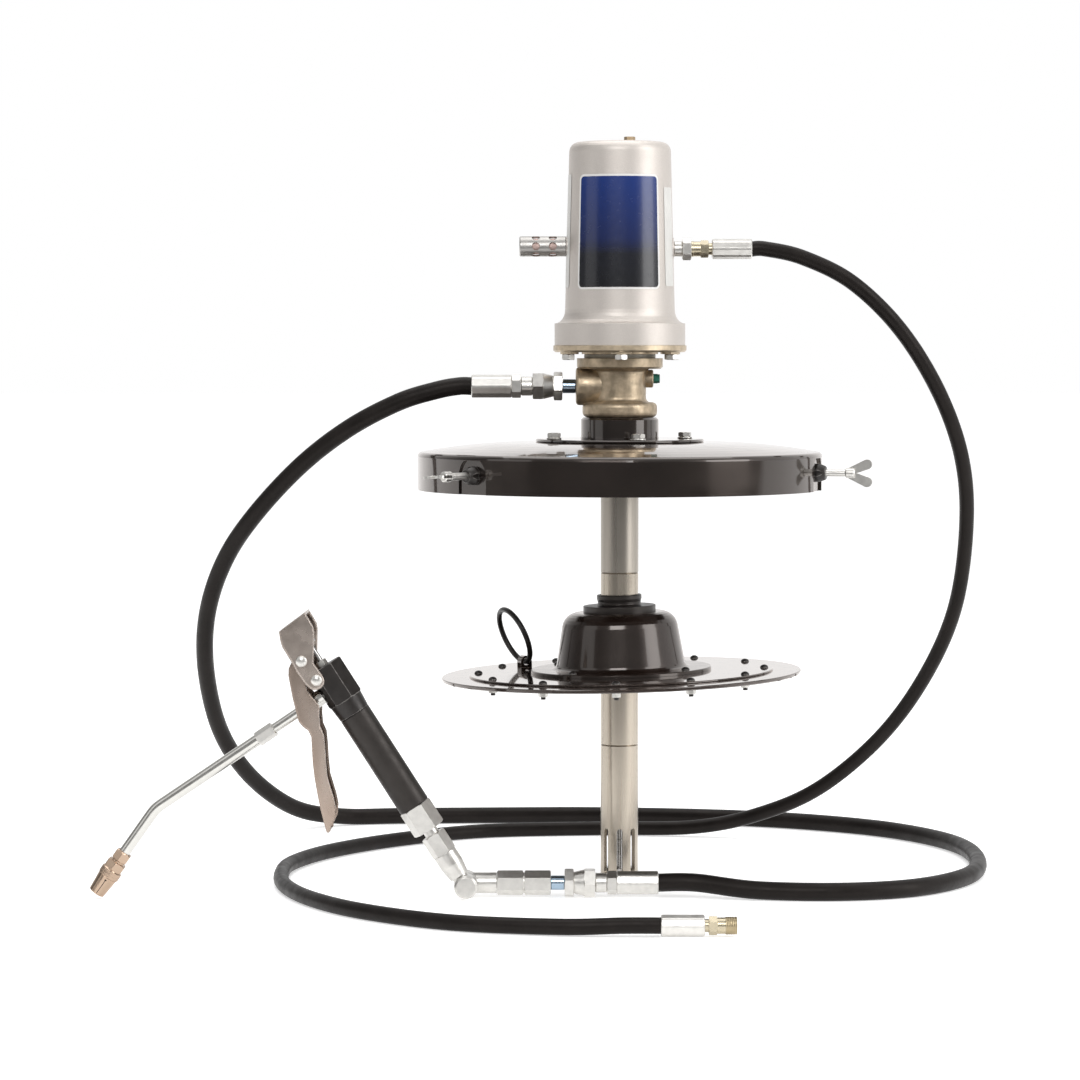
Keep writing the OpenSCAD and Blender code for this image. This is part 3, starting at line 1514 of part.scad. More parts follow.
module trigger_lever() {
    tall = lever_top - lever_low;
    outer = [for (s = lever_outer_shares) [-s[1] * lever_reach, lever_low + s[0] * tall]];
    inner = [for (s = lever_inner_shares) [-s[1] * lever_reach, lever_low + s[0] * tall]];
    width = trigger_w - 2 * lever_gap;
    color("tan")
    gun_place()
    difference() {
        rotate([90, 0, 0]) linear_extrude(width, center = true) polygon(concat(outer, inner));
        rotate([90, 0, 0]) linear_extrude(width - 2 * trigger_t, center = true)
            translate([trigger_t, 0]) polygon(concat(
                [for (p = outer) p], [for (p = inner) p + [lever_reach, 0]]
            ));
        translate([-rivet_out, 0, body_z + rivet_rise]) rotate([90, 0, 0])
            cylinder(r = pivot_d / 2 + fit_gap, h = width + 2 * over, center = true);
        translate([-lever_reach, -nozzle_slot_w / 2, body_z + nozzle_rise - nozzle_slot_low])
            cube([lever_reach, nozzle_slot_w, nozzle_slot_low + nozzle_slot_high]);
    }
}

module valve_stem() {
    color("gainsboro")
    gun_place() translate([-stem_out, 0, body_top_z - valve_stem_sink]) {
        cylinder(d = valve_stem_d, h = valve_stem_sink + stem_head_rise - body_len + stem_head_h);
        translate([0, 0, valve_stem_sink + stem_head_rise - body_len])
            bevelled(stem_head_d, stem_head_h, tube_chamfer);
    }
}

motor_bell();
vent_plug();
exhaust_muffler();
muffler_element();
air_inlet_fitting();
motor_gasket();
motor_base();
base_bolts();
outlet_body();
ground_screw();
adapter_collar();
adapter_plate();
adapter_bolts();
cover();
clamp_nuts();
riser_tube();
lower_cylinder();
intake_tube();
union_nipples();
hose_unions();
hose_swivel_nuts();
grease_hose_stems();
grease_hose_ferrules();
grease_hose();
air_hose();
air_hose_ferrules();
air_hose_stems();
swivel_inlet();
air_piston();
piston_seal();
piston_rod();
pump_plunger();
priming_rod();
trip_rod();
intake_check();
follower_seal();
follower_dome();
follower_upper_plate();
follower_wiper();
follower_lower_plate();
follower_bolts();
follower_nuts();
ring_clip();
lift_ring();
wing_screw_right();
wing_screw_left();
wing_screw_rear();
swivel_elbow();
swivel_yoke();
gun_adapter();
gun_nuts();
gun_grip();
gun_body();
gun_nozzle();
grease_coupler();
trigger_pin();
trigger_head();
trigger_lever();
trigger_rivet();
valve_stem();
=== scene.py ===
"""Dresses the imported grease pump: hoses, labels, coupler, thread, materials, floor, light and camera."""

import math

import bpy
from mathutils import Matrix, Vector


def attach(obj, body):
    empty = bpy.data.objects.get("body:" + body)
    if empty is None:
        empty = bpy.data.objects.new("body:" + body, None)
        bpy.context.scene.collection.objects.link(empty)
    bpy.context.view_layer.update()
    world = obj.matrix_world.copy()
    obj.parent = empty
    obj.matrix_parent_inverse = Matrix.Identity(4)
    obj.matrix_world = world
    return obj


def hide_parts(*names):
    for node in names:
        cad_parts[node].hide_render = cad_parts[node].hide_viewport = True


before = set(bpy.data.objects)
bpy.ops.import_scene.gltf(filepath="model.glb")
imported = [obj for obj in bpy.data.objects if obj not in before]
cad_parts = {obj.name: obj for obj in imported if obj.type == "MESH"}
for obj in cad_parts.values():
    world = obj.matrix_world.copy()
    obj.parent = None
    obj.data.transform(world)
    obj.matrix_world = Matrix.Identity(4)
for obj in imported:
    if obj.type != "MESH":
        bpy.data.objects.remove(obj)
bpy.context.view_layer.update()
MM = 0.001

# Camera, fitted to the photograph. In pixels, its focal length, and how far the horizon lies above the
# picture's middle; in millimetres, its place, lens and sensor; in metres, its clipping

CAMERA_PLACE = Vector((-67, -3025, 450)) * MM
FOCAL_PIXELS, HORIZON_RISE = 3600, 195
LENS, SENSOR_WIDTH = 120, 36
CLIP_NEAR, CLIP_FAR = 0.1, 50

# Hose routes, as in the part's source, in millimetres; each is smoothed, and its skin carries a weave

GREASE_HOSE_D = 15.0
AIR_HOSE_D = 12.8
GREASE_ROUTE = [
    (-124.6, 0, 415.5), (-135, 0, 415.5), (-154, 1, 412), (-186, 3, 402), (-228, 10, 380), (-270, 28, 348),
    (-311, 52, 305), (-339, 80, 265), (-357, 112, 219), (-363, 148, 170), (-358, 195, 115),
    (-343, 233, 74), (-319, 270, 41), (-289, 305, 18), (-250, 332, 8.7), (-198, 344, 7.6),
    (-104, 349, 7.6), (-10, 350, 7.6), (100, 333, 7.6), (180, 302, 7.6), (252, 246, 7.6),
    (298, 165, 7.6), (310, 72, 7.6), (294, -30, 7.6), (246, -100, 7.6), (182, -127, 7.6),
    (110, -122, 8), (60, -110, 12.4), (29.4, -110, 12.4),
]
AIR_ROUTE = [
    (110.5, 0, 530.3), (122, 0, 530.3), (154, 3, 523), (196, 8, 502), (238, 20, 462),
    (273, 38, 408), (295, 60, 351), (302, 88, 290), (296, 122, 218), (273, 158, 154),
    (237, 193, 97), (186, 222, 49), (133, 240, 23), (75, 255, 9), (-12, 264, 6.5),
    (-118, 246, 6.5), (-194, 190, 6.5), (-250, 118, 6.5), (-279, 45, 6.5), (-284, -20, 6.5),
    (-276, -88, 6.5), (-250, -158, 6.5), (-205, -222, 6.5), (-135, -276, 6.5),
    (-52, -300, 7), (-4, -304, 8.6), (25, -304, 8.6),
]
ROUTE_PARTS = 10
HOSE_ROUNDNESS = 8
WEAVE_SCALE, WEAVE_DEPTH = (900, 24, 1), 0.08

# Coupler, as distances from its mouth along its axis, in millimetres: the sleeve's outline, the knurled
# collar, the outline of the two nuts as (radius, distance), and the nuts as (from, to, across flats)

COUPLER_TIP = (-428.08, -114.5, 5.17)
COUPLER_AXIS = (0.576788, -0.048491, 0.815453)
SLEEVE_FOOT, SLEEVE_TOP = (6.7, 0.5), (8.2, 16.4)
SLEEVE = [(0.01, 10), (3.4, 10), (3.4, 0.5), (3.9, 0), (6.3, 0), SLEEVE_FOOT, SLEEVE_TOP, (8.0, 16.6), (8.0, 16.9)]
KNURL = (17, 23)
KNURL_R, KNURL_STEPS = 8.6, 22
KNURL_TEETH, KNURL_LEAN, KNURL_DEPTH = 36, 2.1, 0.22
NUTS = [
    (8.1, 23.4), (7.7, 23.9), (7.9, 24), (8.4, 24.7), (8.6, 25), (8.6, 29.6), (8.4, 30), (7.6, 30.8), (5.9, 31),
    (5.6, 31.3), (5.6, 32.3), (6.1, 32.6), (7.2, 33.2), (7.4, 33.6), (7.4, 39.6), (7.1, 40.1), (5.8, 41), (0.01, 41),
]
HEXAGONS = [(24, 30.8, 15), (32.6, 40.1, 12.4)]
COUPLER_COLUMNS = 144
SLOT_FACES = Vector((0.15, -1, 0.1))
SLOT_FROM, SLOT_LENGTH, SLOT_STEPS = 1, 13, 8
SLOT_HALF, SLOT_LIFT = 0.28, 0.04
HOLE_AT, HOLE_R, HOLE_SIDES, HOLE_LIFT = 14.4, 0.85, 16, 0.05

# Pipe thread on the air hose's end, over its CAD solid, in millimetres

THREAD_X = (74.4, 82.8)
THREAD_R, THREAD_LIFT, THREAD_SINK = 6.6, 0.02, 0.4
THREAD_PITCH, THREAD_DEPTH = 1.34, 0.34
THREAD_MARGIN, THREAD_STEPS, THREAD_COLUMNS = 0.2, 44, 48

# The bell's cone and what is stuck on it: millimetres, and degrees from the front

BELL_FOOT_Z, BELL_FOOT_R = 479.6, 46.0
BELL_CROWN_Z, BELL_CROWN_R = 611.3, 42.6
LABEL_TURN, LABEL_Z = (-51.2, 45.1), (496.1, 591.2)
LABEL_CORNER, LABEL_BORDER = 5, 1.8
STICKERS = [("sticker_left", (-92, -70), (498, 592)), ("sticker_right", (55, 76), (499, 581))]
STICKER_CORNER = 2
STICKER_LIFT, LABEL_LIFT = 0.25, 0.4
PATCH_ROWS, PATCH_COLUMNS, CORNER_STEP = 24, 48, 10

# Lever's rounded edges, and the angle from which a turned edge stays sharp, in millimetres and degrees

LEVER_ROUND, LEVER_SEGMENTS, LEVER_ANGLE = 0.7, 3, 35
WELD_DISTANCE = 0.002
SHARP_ANGLE = 28

# Shared looks: the dark pieces' warm gloss, the part of a noise's range that counts, the lowest
# roughness, and the patches in which the lighter edges, partly wear and partly a painted highlight, show (scale,
# detail, from, to, least, most)

WARM_TINT = (1.0, 0.92, 0.87)
WARM = {"Specular_Tint": WARM_TINT, "Coat_Tint": WARM_TINT}
NOISE_LOW, NOISE_HIGH = 0.3, 0.7
LEAST_ROUGH = 0.02
BEVEL_SAMPLES, WEAR_AND_HIGHLIGHT_SAMPLES = 4, 6
WEAR_AND_HIGHLIGHT_SCALE, WEAR_AND_HIGHLIGHT_DETAIL = 240, 5.0
WEAR_AND_HIGHLIGHT_PATCHES = (0.35, 0.6, 0.25, 1.0)

# Floor: its size in metres, its colour and its painted shade, its glow, and how far towards the camera it dims in
# reflections and in the light it throws back

FLOOR_HALF = 30
FLOOR_COLOUR, FLOOR_SHADE = (0.9, 0.9, 0.9), (0.05, 0.05, 0.05)
FLOOR_GLOW, FLOOR_DIMMEST = 0.5, 0.12
FLOOR_BEHIND = (-1.3, -0.5)

# World: its level rises along each axis as (axis, from, to, level before, level after), the brightest of
# them counts, and the shade dims it towards the left

WORLD_LEVELS = [("Y", -0.1, 0.75, 0.36, 1.0), ("X", 0.3, 0.9, 0.0, 0.95), ("Z", 0.35, 0.95, 0.0, 0.75)]
WORLD_SHADE = ("X", -1.0, -0.2, 0.45, 1.0)

# Lamps as (name, place, size, power), in metres and watts, all turned to one point

LAMPS_AIM = (0, 0, 0.3)
LAMPS = [
    ("key", (2.2, -1.2, 1.3), (1.3, 2.2), 30),
    ("front", (-0.4, -2.9, 1.9), (1.6, 1.2), 36),
    ("fill", (-2.2, -1.0, 1.3), (1.3, 2.2), 7),
    ("top", (0, 0.3, 2.6), (2.4, 1.8), 24),
]


def placed(name, data):
    """A new object in the scene."""
    obj = bpy.data.objects.new(name, data)
    bpy.context.scene.collection.objects.link(obj)
    return obj


def make_camera():
    data = bpy.data.cameras.new("camera")
    data.sensor_fit = "HORIZONTAL"
    data.sensor_width = SENSOR_WIDTH
    data.lens = LENS
    data.clip_start, data.clip_end = CLIP_NEAR, CLIP_FAR
    camera = placed("camera", data)
    camera.location = CAMERA_PLACE
    camera.rotation_euler = (math.pi / 2 - math.atan(HORIZON_RISE / FOCAL_PIXELS), 0, 0)
    bpy.context.scene.camera = camera


# Shader building


def put(made, socket, value):
    """Gives a socket a number or a colour, or links another socket to it."""
    if isinstance(value, bpy.types.NodeSocket):
        made.node_tree.links.new(value, socket)
    elif socket.type == "RGBA":
        socket.default_value = (*value, 1)
    else:
        socket.default_value = value


def node(made, kind, **values):
    """A node. Values named after its inputs are numbers, colours or sockets to link; others are settings."""
    new = made.node_tree.nodes.new(kind)
    for key, value in values.items():
        label = key.replace("_", " ")
        if label in new.inputs:
            put(made, new.inputs[label], value)
        else:
            setattr(new, key, value)
    return new


def give(made, **values):
    """Sets or links inputs of a material's one shader."""
    inputs = made.node_tree.nodes["Principled BSDF"].inputs
    for key, value in values.items():
        put(made, inputs[key.replace("_", " ")], value)


def shader(name, colour, metallic=0.0, rough=0.5, **sockets):
    made = bpy.data.materials.new(name)
    made.use_nodes = True
    give(made, Base_Color=colour, Metallic=metallic, Roughness=rough, **sockets)
    return made


def noise(made, scale, detail=4.0, stretch=(1, 1, 1)):
    """Noise over the object's own coordinates, in metres, stretched along an axis where asked."""
    place = node(made, "ShaderNodeTexCoord").outputs["Object"]
    mapping = node(made, "ShaderNodeMapping", Vector=place, Scale=stretch)
    return node(made, "ShaderNodeTexNoise", Vector=mapping.outputs[0], Scale=scale, Detail=detail).outputs[0]


def ramp(made, source, stops):
    """A colour ramp over a source; stops are (place, colour)."""
    new = node(made, "ShaderNodeValToRGB", Fac=source)
    elements = new.color_ramp.elements
    while len(elements) < len(stops):
        elements.new(0.5)
    for element, (place, colour) in zip(elements, stops):
        element.position = place
        element.color = (*colour, 1)
    return new.outputs[0]


def ranged(made, source, low, high, low_to, high_to, **settings):
    """A source's range from low to high, turned into another range."""
    new = node(
        made, "ShaderNodeMapRange", Value=source, From_Min=low, From_Max=high, To_Min=low_to, To_Max=high_to,
        **settings,
    )
    return new.outputs[0]


def combine(made, operation, first, second):
    new = node(made, "ShaderNodeMath", operation=operation)
    put(made, new.inputs[0], first)
    put(made, new.inputs[1], second)
    return new.outputs[0]


def blend(made, share, first, second):
    """A colour between two. The node has a set of sockets for each kind of value: 6, 7 and 2 are the colours'."""
    new = node(made, "ShaderNodeMix", data_type="RGBA")
    put(made, new.inputs["Factor"], share)
    put(made, new.inputs[6], first)
    put(made, new.inputs[7], second)
    return new.outputs[2]


def broken_edges(made, radius, samples):
    """The normal over edges that are broken by a radius, in millimetres."""
    return node(made, "ShaderNodeBevel", samples=samples, Radius=radius * MM).outputs[0]


def tint(colour, by):
    return tuple(min(1, max(0, c * by)) for c in colour)


def mottle(made, colour, scale, spread, stretch=(1, 1, 1)):
    """Uneven colour: the base colour drifts lighter and darker over the surface."""
    stops = [(NOISE_LOW, tint(colour, 1 - spread)), (NOISE_HIGH, tint(colour, 1 + spread))]
    give(made, Base_Color=ramp(made, noise(made, scale, stretch=stretch), stops))


def uneven(made, rough, scale, spread, stretch=(1, 1, 1)):
    """Uneven gloss: handling, polish and dust."""
    texture = noise(made, scale, stretch=stretch)
    smoothest, roughest = max(LEAST_ROUGH, rough - spread), rough + spread
    give(made, Roughness=ranged(made, texture, NOISE_LOW, NOISE_HIGH, smoothest, roughest))


def grain(made, scale, depth, edge, stretch=(1, 1, 1)):
    """Fine relief of the given depth over edges that are broken by the given radius, in millimetres."""
    texture = noise(made, scale, 3.0, stretch)
    broken = broken_edges(made, edge, BEVEL_SAMPLES)
    bump = node(made, "ShaderNodeBump", Strength=1.0, Distance=depth * MM, Height=texture, Normal=broken)
    give(made, Normal=bump.outputs[0])


def worn_and_highlit_edges(made, bare_and_highlight, radius, low=0.88, high=0.985):
    """Paints a lighter colour where the broken and the true normals part: partly bare metal where an edge is rubbed,
    partly a painted highlight along the edge.
    """
    true = node(made, "ShaderNodeNewGeometry").outputs["True Normal"]
    agree = node(made, "ShaderNodeVectorMath", operation="DOT_PRODUCT")
    put(made, agree.inputs[0], broken_edges(made, radius, WEAR_AND_HIGHLIGHT_SAMPLES))
    put(made, agree.inputs[1], true)
    rubbed_and_highlit = ranged(made, agree.outputs["Value"], low, high, 1.0, 0.0)
    patchy = ranged(made, noise(made, WEAR_AND_HIGHLIGHT_SCALE, WEAR_AND_HIGHLIGHT_DETAIL), *WEAR_AND_HIGHLIGHT_PATCHES)
    colour = made.node_tree.nodes["Principled BSDF"].inputs["Base Color"].links[0].from_socket
    # Lighter edge colour: partly wear, partly a painted highlight.
    give(made, Base_Color=blend(made, combine(made, "MULTIPLY", rubbed_and_highlit, patchy), colour, bare_and_highlight))


# Materials


def skin(name, colour, rough, spots, gloss, relief, stretch=(1, 1, 1), **sockets):
    """A material with colour spots (scale, spread), uneven gloss (scale, spread) and fine relief (scale,
    depth, and the radius by which edges are broken, in millimetres)."""
    made = shader(name, colour, rough=rough, **sockets)
    mottle(made, colour, *spots, stretch)
    uneven(made, rough, *gloss, stretch)
    grain(made, *relief, stretch)
    return made


def bell_paint():
    """Silver spray paint: fine flake under a thin clear coat."""
    return skin(
        "bell_silver", (0.62, 0.575, 0.535), 0.5, spots=(2600, 0.12), gloss=(60, 0.03), relief=(2400, 0.012, 0.8),
        metallic=0.8, Coat_Weight=0.12, Coat_Roughness=0.3,
    )


def cast_bronze():
    """Painted sand casting: warm grey-gold skin, coarse grain, darker in the pits."""
    return skin(
        "bronze_casting", (0.46, 0.37, 0.26), 0.4, spots=(160, 0.26), gloss=(240, 0.1), relief=(520, 0.14, 0.8),
        metallic=0.75,
    )


def flange_bronze():
    """The motor's base flange: the same casting, turned brighter on its rim."""
    return skin(
        "bronze_flange", (0.56, 0.46, 0.33), 0.36, spots=(160, 0.18), gloss=(240, 0.08), relief=(700, 0.04, 0.5),
        metallic=0.8,
    )


def black_enamel():
    """Dipped black enamel: deep gloss, faint orange peel, brown where thin."""
    return skin(
        "black_enamel", (0.0085, 0.0062, 0.0052), 0.17, spots=(25, 0.25), gloss=(40, 0.05), relief=(260, 0.004, 0.5),
        Coat_Weight=1.0, Coat_Roughness=0.03, **WARM,
    )


def dome_enamel():
    """The same enamel on the drawn dome, where it is satin and a little browner."""
    return skin(
        "dome_enamel", (0.013, 0.0085, 0.0068), 0.2, spots=(30, 0.3), gloss=(60, 0.04), relief=(200, 0.004, 0.8),
        Coat_Weight=0.6, Coat_Roughness=0.07, **WARM,
    )


def plate_enamel():
    """The follower's enamel: glossy where it was dipped, speckled, and lighter along its edges, partly rubbed and
    partly a painted highlight.
    """
    made = skin(
        "plate_enamel", (0.017, 0.0115, 0.0095), 0.12, spots=(420, 0.5), gloss=(160, 0.05), relief=(600, 0.0015, 0.4),
        Coat_Weight=1.0, Coat_Roughness=0.03, **WARM,
    )
    # Lighter edges: partly wear, partly a painted highlight.
    worn_and_highlit_edges(made, (0.36, 0.32, 0.30), 0.5, 0.86, 0.97)
    return made


def wiper_skin():
    """The follower's outer disc: dipped and glossy, with a lighter rim, partly rubbed and partly a painted highlight.
    """
    made = skin(
        "wiper_rubber", (0.018, 0.0125, 0.0105), 0.13, spots=(300, 0.4), gloss=(120, 0.05), relief=(500, 0.0015, 0.3),
        Coat_Weight=1.0, Coat_Roughness=0.04, **WARM,
    )
    # Lighter rim: partly wear, partly a painted highlight.
    worn_and_highlit_edges(made, (0.30, 0.27, 0.25), 0.6, 0.86, 0.97)
    return made


def black_oxide():
    """Blackened steel with the sharp corners grey, partly rubbed and partly a painted highlight."""
    made = skin(
        "black_oxide", (0.020, 0.0165, 0.015), 0.36, spots=(90, 0.3), gloss=(160, 0.08), relief=(600, 0.02, 0.7),
        metallic=0.3,
    )
    # Grey corners: partly wear, partly a painted highlight.
    worn_and_highlit_edges(made, (0.36, 0.34, 0.32), 1.0)
    return made


def steel(name, colour, rough, stretch=(1, 1, 40), depth=0.004):
    """Ground or drawn steel with lines round or along the part."""
    return skin(
        name, colour, rough, spots=(30, 0.08), gloss=(120, 0.06), relief=(300, depth, 0.3), stretch=stretch,
        metallic=1.0,
    )


def plated(name, colour, rough=0.26, depth=0.0015, cloud=0.07):
    """Plated metal: slightly clouded, with fine turning marks."""
    return skin(
        name, colour, rough, spots=(200, cloud), gloss=(260, 0.05), relief=(1500, depth, 0.4), metallic=1.0,
    )


def rubber(name, colour, rough, scale=700, depth=0.03):
    return skin(name, colour, rough, spots=(60, 0.25), gloss=(150, 0.08), relief=(scale, depth, 0.3), **WARM)


def pressed_nickel(name, tarnished, colour, bright):
    """Bronze-tinted nickel on pressed steel: tarnish in broad clouds, soft rolled edges."""
    made = shader(name, colour, metallic=1.0)
    clouds = noise(made, 22, 2.0, (1, 1, 0.4))
    give(made, Base_Color=ramp(made, clouds, [(0.32, tarnished), (0.52, colour), (0.7, bright)]))
    uneven(made, 0.25, 90, 0.05)
    grain(made, 900, 0.0004, 2.4)
    return made


def hose_rubber():
    """Wrapped hose cover: matt black with the faint cross weave that its curing tape leaves."""
    colour = (0.0095, 0.0078, 0.0072)
    made = shader("hose_rubber", colour, Specular_IOR_Level=0.17, **WARM)
    mottle(made, colour, 40, 0.3)
    uneven(made, 0.42, 90, 0.07)
    place = node(made, "ShaderNodeTexCoord").outputs["UV"]
    mapping = node(made, "ShaderNodeMapping", Vector=place, Scale=WEAVE_SCALE)
    weave = node(made, "ShaderNodeTexVoronoi", Vector=mapping.outputs[0], Scale=1.0)
    bump = node(made, "ShaderNodeBump", Strength=0.6, Distance=WEAVE_DEPTH * MM, Height=weave.outputs[0])
    give(made, Normal=bump.outputs[0])
    return made


def label_ink():
    """Printed vinyl: blue that falls to near black towards the foot, under a clear gloss."""
    made = shader("label_ink", (0.02, 0.05, 0.25), Coat_Weight=0.25, Coat_Roughness=0.12)
    place = node(made, "ShaderNodeTexCoord").outputs["Generated"]
    height = node(made, "ShaderNodeSeparateXYZ", Vector=place).outputs["Z"]
    stops = [
        (0.0, (0.004, 0.0045, 0.007)), (0.30, (0.005, 0.006, 0.012)),
        (0.44, (0.005, 0.014, 0.08)), (1.0, (0.005, 0.028, 0.17)),
    ]
    give(made, Base_Color=ramp(made, height, stops))
    uneven(made, 0.25, 200, 0.03)
    return made


# Meshes


def new_mesh(name, vertices, faces, made, body, smooth=True):
    """A mesh piece from vertices in millimetres, riding on a body."""
    mesh = bpy.data.meshes.new(name)
    mesh.from_pydata([Vector(v) * MM for v in vertices], [], faces)
    mesh.validate()
    mesh.polygons.foreach_set("use_smooth", [smooth] * len(mesh.polygons))
    mesh.materials.append(made)
    obj = placed(name, mesh)
    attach(obj, body)
    return obj


def turned(name, rows, radius_at, place, along, made, body, columns, capped=True):
    """A closed skin round an axis, either capped or closed on itself. Rows are (radius, distance along the
    axis); radius_at(radius, distance, turn) may shape the section, as for flats, knurls and threads."""
    along = Vector(along).normalized()
    side = along.cross(Vector((0, 0, 1))).normalized()
    other = along.cross(side)
    start = Vector(place)
    vertices, faces = [], []
    for radius, distance in rows:
        for k in range(columns):
            turn = 2 * math.pi * k / columns
            reach = radius_at(radius, distance, turn)
            out = side * (reach * math.cos(turn)) + other * (reach * math.sin(turn))
            vertices.append(start + along * distance + out)
    count = len(rows)
    for i in range(count - 1 if capped else count):
        near, far = i * columns, (i + 1) % count * columns
        for k in range(columns):
            after = (k + 1) % columns
            faces.append((near + k, near + after, far + after, far + k))
    if capped:
        for i in (0, count - 1):
            middle = len(vertices)
            vertices.append(start + along * rows[i][1])
            for k in range(columns):
                a, b = i * columns + k, i * columns + (k + 1) % columns
                faces.append((middle, a, b) if i else (middle, b, a))
    obj = new_mesh(name, vertices, faces, made, body)
    obj.data.set_sharp_from_angle(angle=math.radians(SHARP_ANGLE))
    return obj


def even_steps(low, high, steps):
    """Even distances from low to high, both among them."""
    return [low + (high - low) * k / steps for k in range(steps + 1)]


# Coupler and thread


def coupler_radius(radius, distance, turn):
    """Cuts the nuts' flats and the knurl into the turned outline."""
    for low, high, across in HEXAGONS:
        if low <= distance <= high:
            side = math.pi / 3
            return min(radius, across / 2 / math.cos(turn % side - side / 2))
    if KNURL[0] < distance < KNURL[1]:
        lean = KNURL_LEAN * distance
        wave = abs(math.sin(KNURL_TEETH * turn / 2 + lean))
        cross = abs(math.sin(KNURL_TEETH * turn / 2 - lean))
        return radius + KNURL_DEPTH * (wave + cross - 1)
    return radius


def sleeve_radius(distance):
    """The tapered sleeve's radius at a distance from the mouth."""
    (foot_r, foot), (top_r, top) = SLEEVE_FOOT, SLEEVE_TOP
    return foot_r + (top_r - foot_r) * (distance - foot) / (top - foot)


def coupler():
    """The coupler as the photograph has it: two nuts, a knurled collar and a long tapered sleeve."""
    made = steel("copper_coupler", (0.45, 0.335, 0.25), 0.2, (1, 1, 1), 0.001)
    rows = SLEEVE + [(KNURL_R, d) for d in even_steps(*KNURL, KNURL_STEPS)] + NUTS
    obj = turned(
        "coupler_sleeve", rows, coupler_radius, COUPLER_TIP, COUPLER_AXIS, made, "gun", COUPLER_COLUMNS,
    )
    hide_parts("grease_coupler")


def coupler_slot():
    """The sleeve's slot and its round end, not cut but painted as shade on a dark sheet laid just over the sleeve."""
    # Painted shade: this dark colour stands for the shade inside the slot and the hole.
    colour = (0.03, 0.02, 0.014)
    painted_slot_shade = shader("coupler_slot", colour, metallic=0.4)
    mottle(painted_slot_shade, colour, 800, 0.3)
    along = Vector(COUPLER_AXIS).normalized()
    out = (SLOT_FACES - along * along.dot(SLOT_FACES)).normalized()
    side = along.cross(out)
    tip = Vector(COUPLER_TIP)
    vertices = []
    for k in range(SLOT_STEPS + 1):
        distance = SLOT_FROM + SLOT_LENGTH * k / SLOT_STEPS
        reach = sleeve_radius(distance) + SLOT_LIFT
        vertices += [tip + along * distance + out * reach + side * w for w in (-SLOT_HALF, SLOT_HALF)]
    faces = [(2 * k, 2 * k + 1, 2 * k + 3, 2 * k + 2) for k in range(SLOT_STEPS)]
    faces.append(tuple(range(len(vertices), len(vertices) + HOLE_SIDES)))
    reach = sleeve_radius(HOLE_AT) + HOLE_LIFT
    for k in range(HOLE_SIDES):
        turn = 2 * math.pi * k / HOLE_SIDES
        distance = HOLE_AT + HOLE_R * math.cos(turn)
        vertices.append(tip + along * distance + side * (HOLE_R * math.sin(turn)) + out * reach)
    new_mesh("coupler_slot", vertices, faces, painted_slot_shade, "gun", smooth=False)


def thread_radius(radius, distance, turn):
    """Lays one ridge in each pitch round the thread."""
    if radius < THREAD_R:
        return radius
    share = (distance / THREAD_PITCH - turn / (2 * math.pi)) % 1
    return radius + THREAD_DEPTH * (1 - abs(2 * share - 1))


def air_thread():
    """The pipe thread on the air hose's free end."""
    made = plated("thread_zinc", (0.36, 0.295, 0.185), 0.34)
    low, high = THREAD_X
    inner, outer = THREAD_R - THREAD_SINK, THREAD_R + THREAD_LIFT
    ridges = even_steps(low + THREAD_MARGIN, high - THREAD_MARGIN, THREAD_STEPS)
    rows = [(inner, low), (outer, low)] + [(outer, d) for d in ridges] + [(outer, high), (inner, high)]
    place = (0, *AIR_ROUTE[-1][1:])
    obj = turned("air_thread", rows, thread_radius, place, (1, 0, 0), made, "pump", THREAD_COLUMNS, capped=False)


# Hoses


def curve_at(points, i, t):
    """The same smooth curve as the source's: through the points, with a shared slope at each."""
    a, b = points[max(i - 1, 0)], points[i]
    c, d = points[min(i + 1, len(points) - 1)], points[min(i + 2, len(points) - 1)]
    return (
        b + (c - a) * (t / 2) + (a - b * 2.5 + c * 2 - d / 2) * t**2
        + (b * 1.5 - a / 2 - c * 1.5 + d / 2) * t**3
    )


def smooth_route(route):
    points = [Vector(p) for p in route]
    starts = range(len(points) - 1)
    line = [curve_at(points, i, k / ROUTE_PARTS) for i in starts for k in range(ROUTE_PARTS)]
    return line + [points[-1]]


def hose(name, route, diameter, made, node_name):
    """A free cord along its route, in place of its CAD tube."""
    line = smooth_route(route)
    data = bpy.data.curves.new(name, "CURVE")
    data.dimensions = "3D"
    data.bevel_depth = diameter / 2 * MM
    data.bevel_resolution = HOSE_ROUNDNESS
    data.use_fill_caps = True
    spline = data.splines.new("POLY")
    spline.points.add(len(line) - 1)
    for point, place in zip(spline.points, line):
        point.co = (*(place * MM), 1)
    data.materials.append(made)
    obj = placed(name, data)
    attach(obj, "pump")
    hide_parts(node_name)


def hoses():
    made = hose_rubber()
    hose(
        "grease_hose_cover", GREASE_ROUTE, GREASE_HOSE_D, made, "grease_hose",
    )
    hose(
        "air_hose_cover", AIR_ROUTE, AIR_HOSE_D, made, "air_hose",
    )


# Label and stickers


def bell_radius(z):
    return BELL_FOOT_R + (z - BELL_FOOT_Z) * (BELL_CROWN_R - BELL_FOOT_R) / (BELL_CROWN_Z - BELL_FOOT_Z)


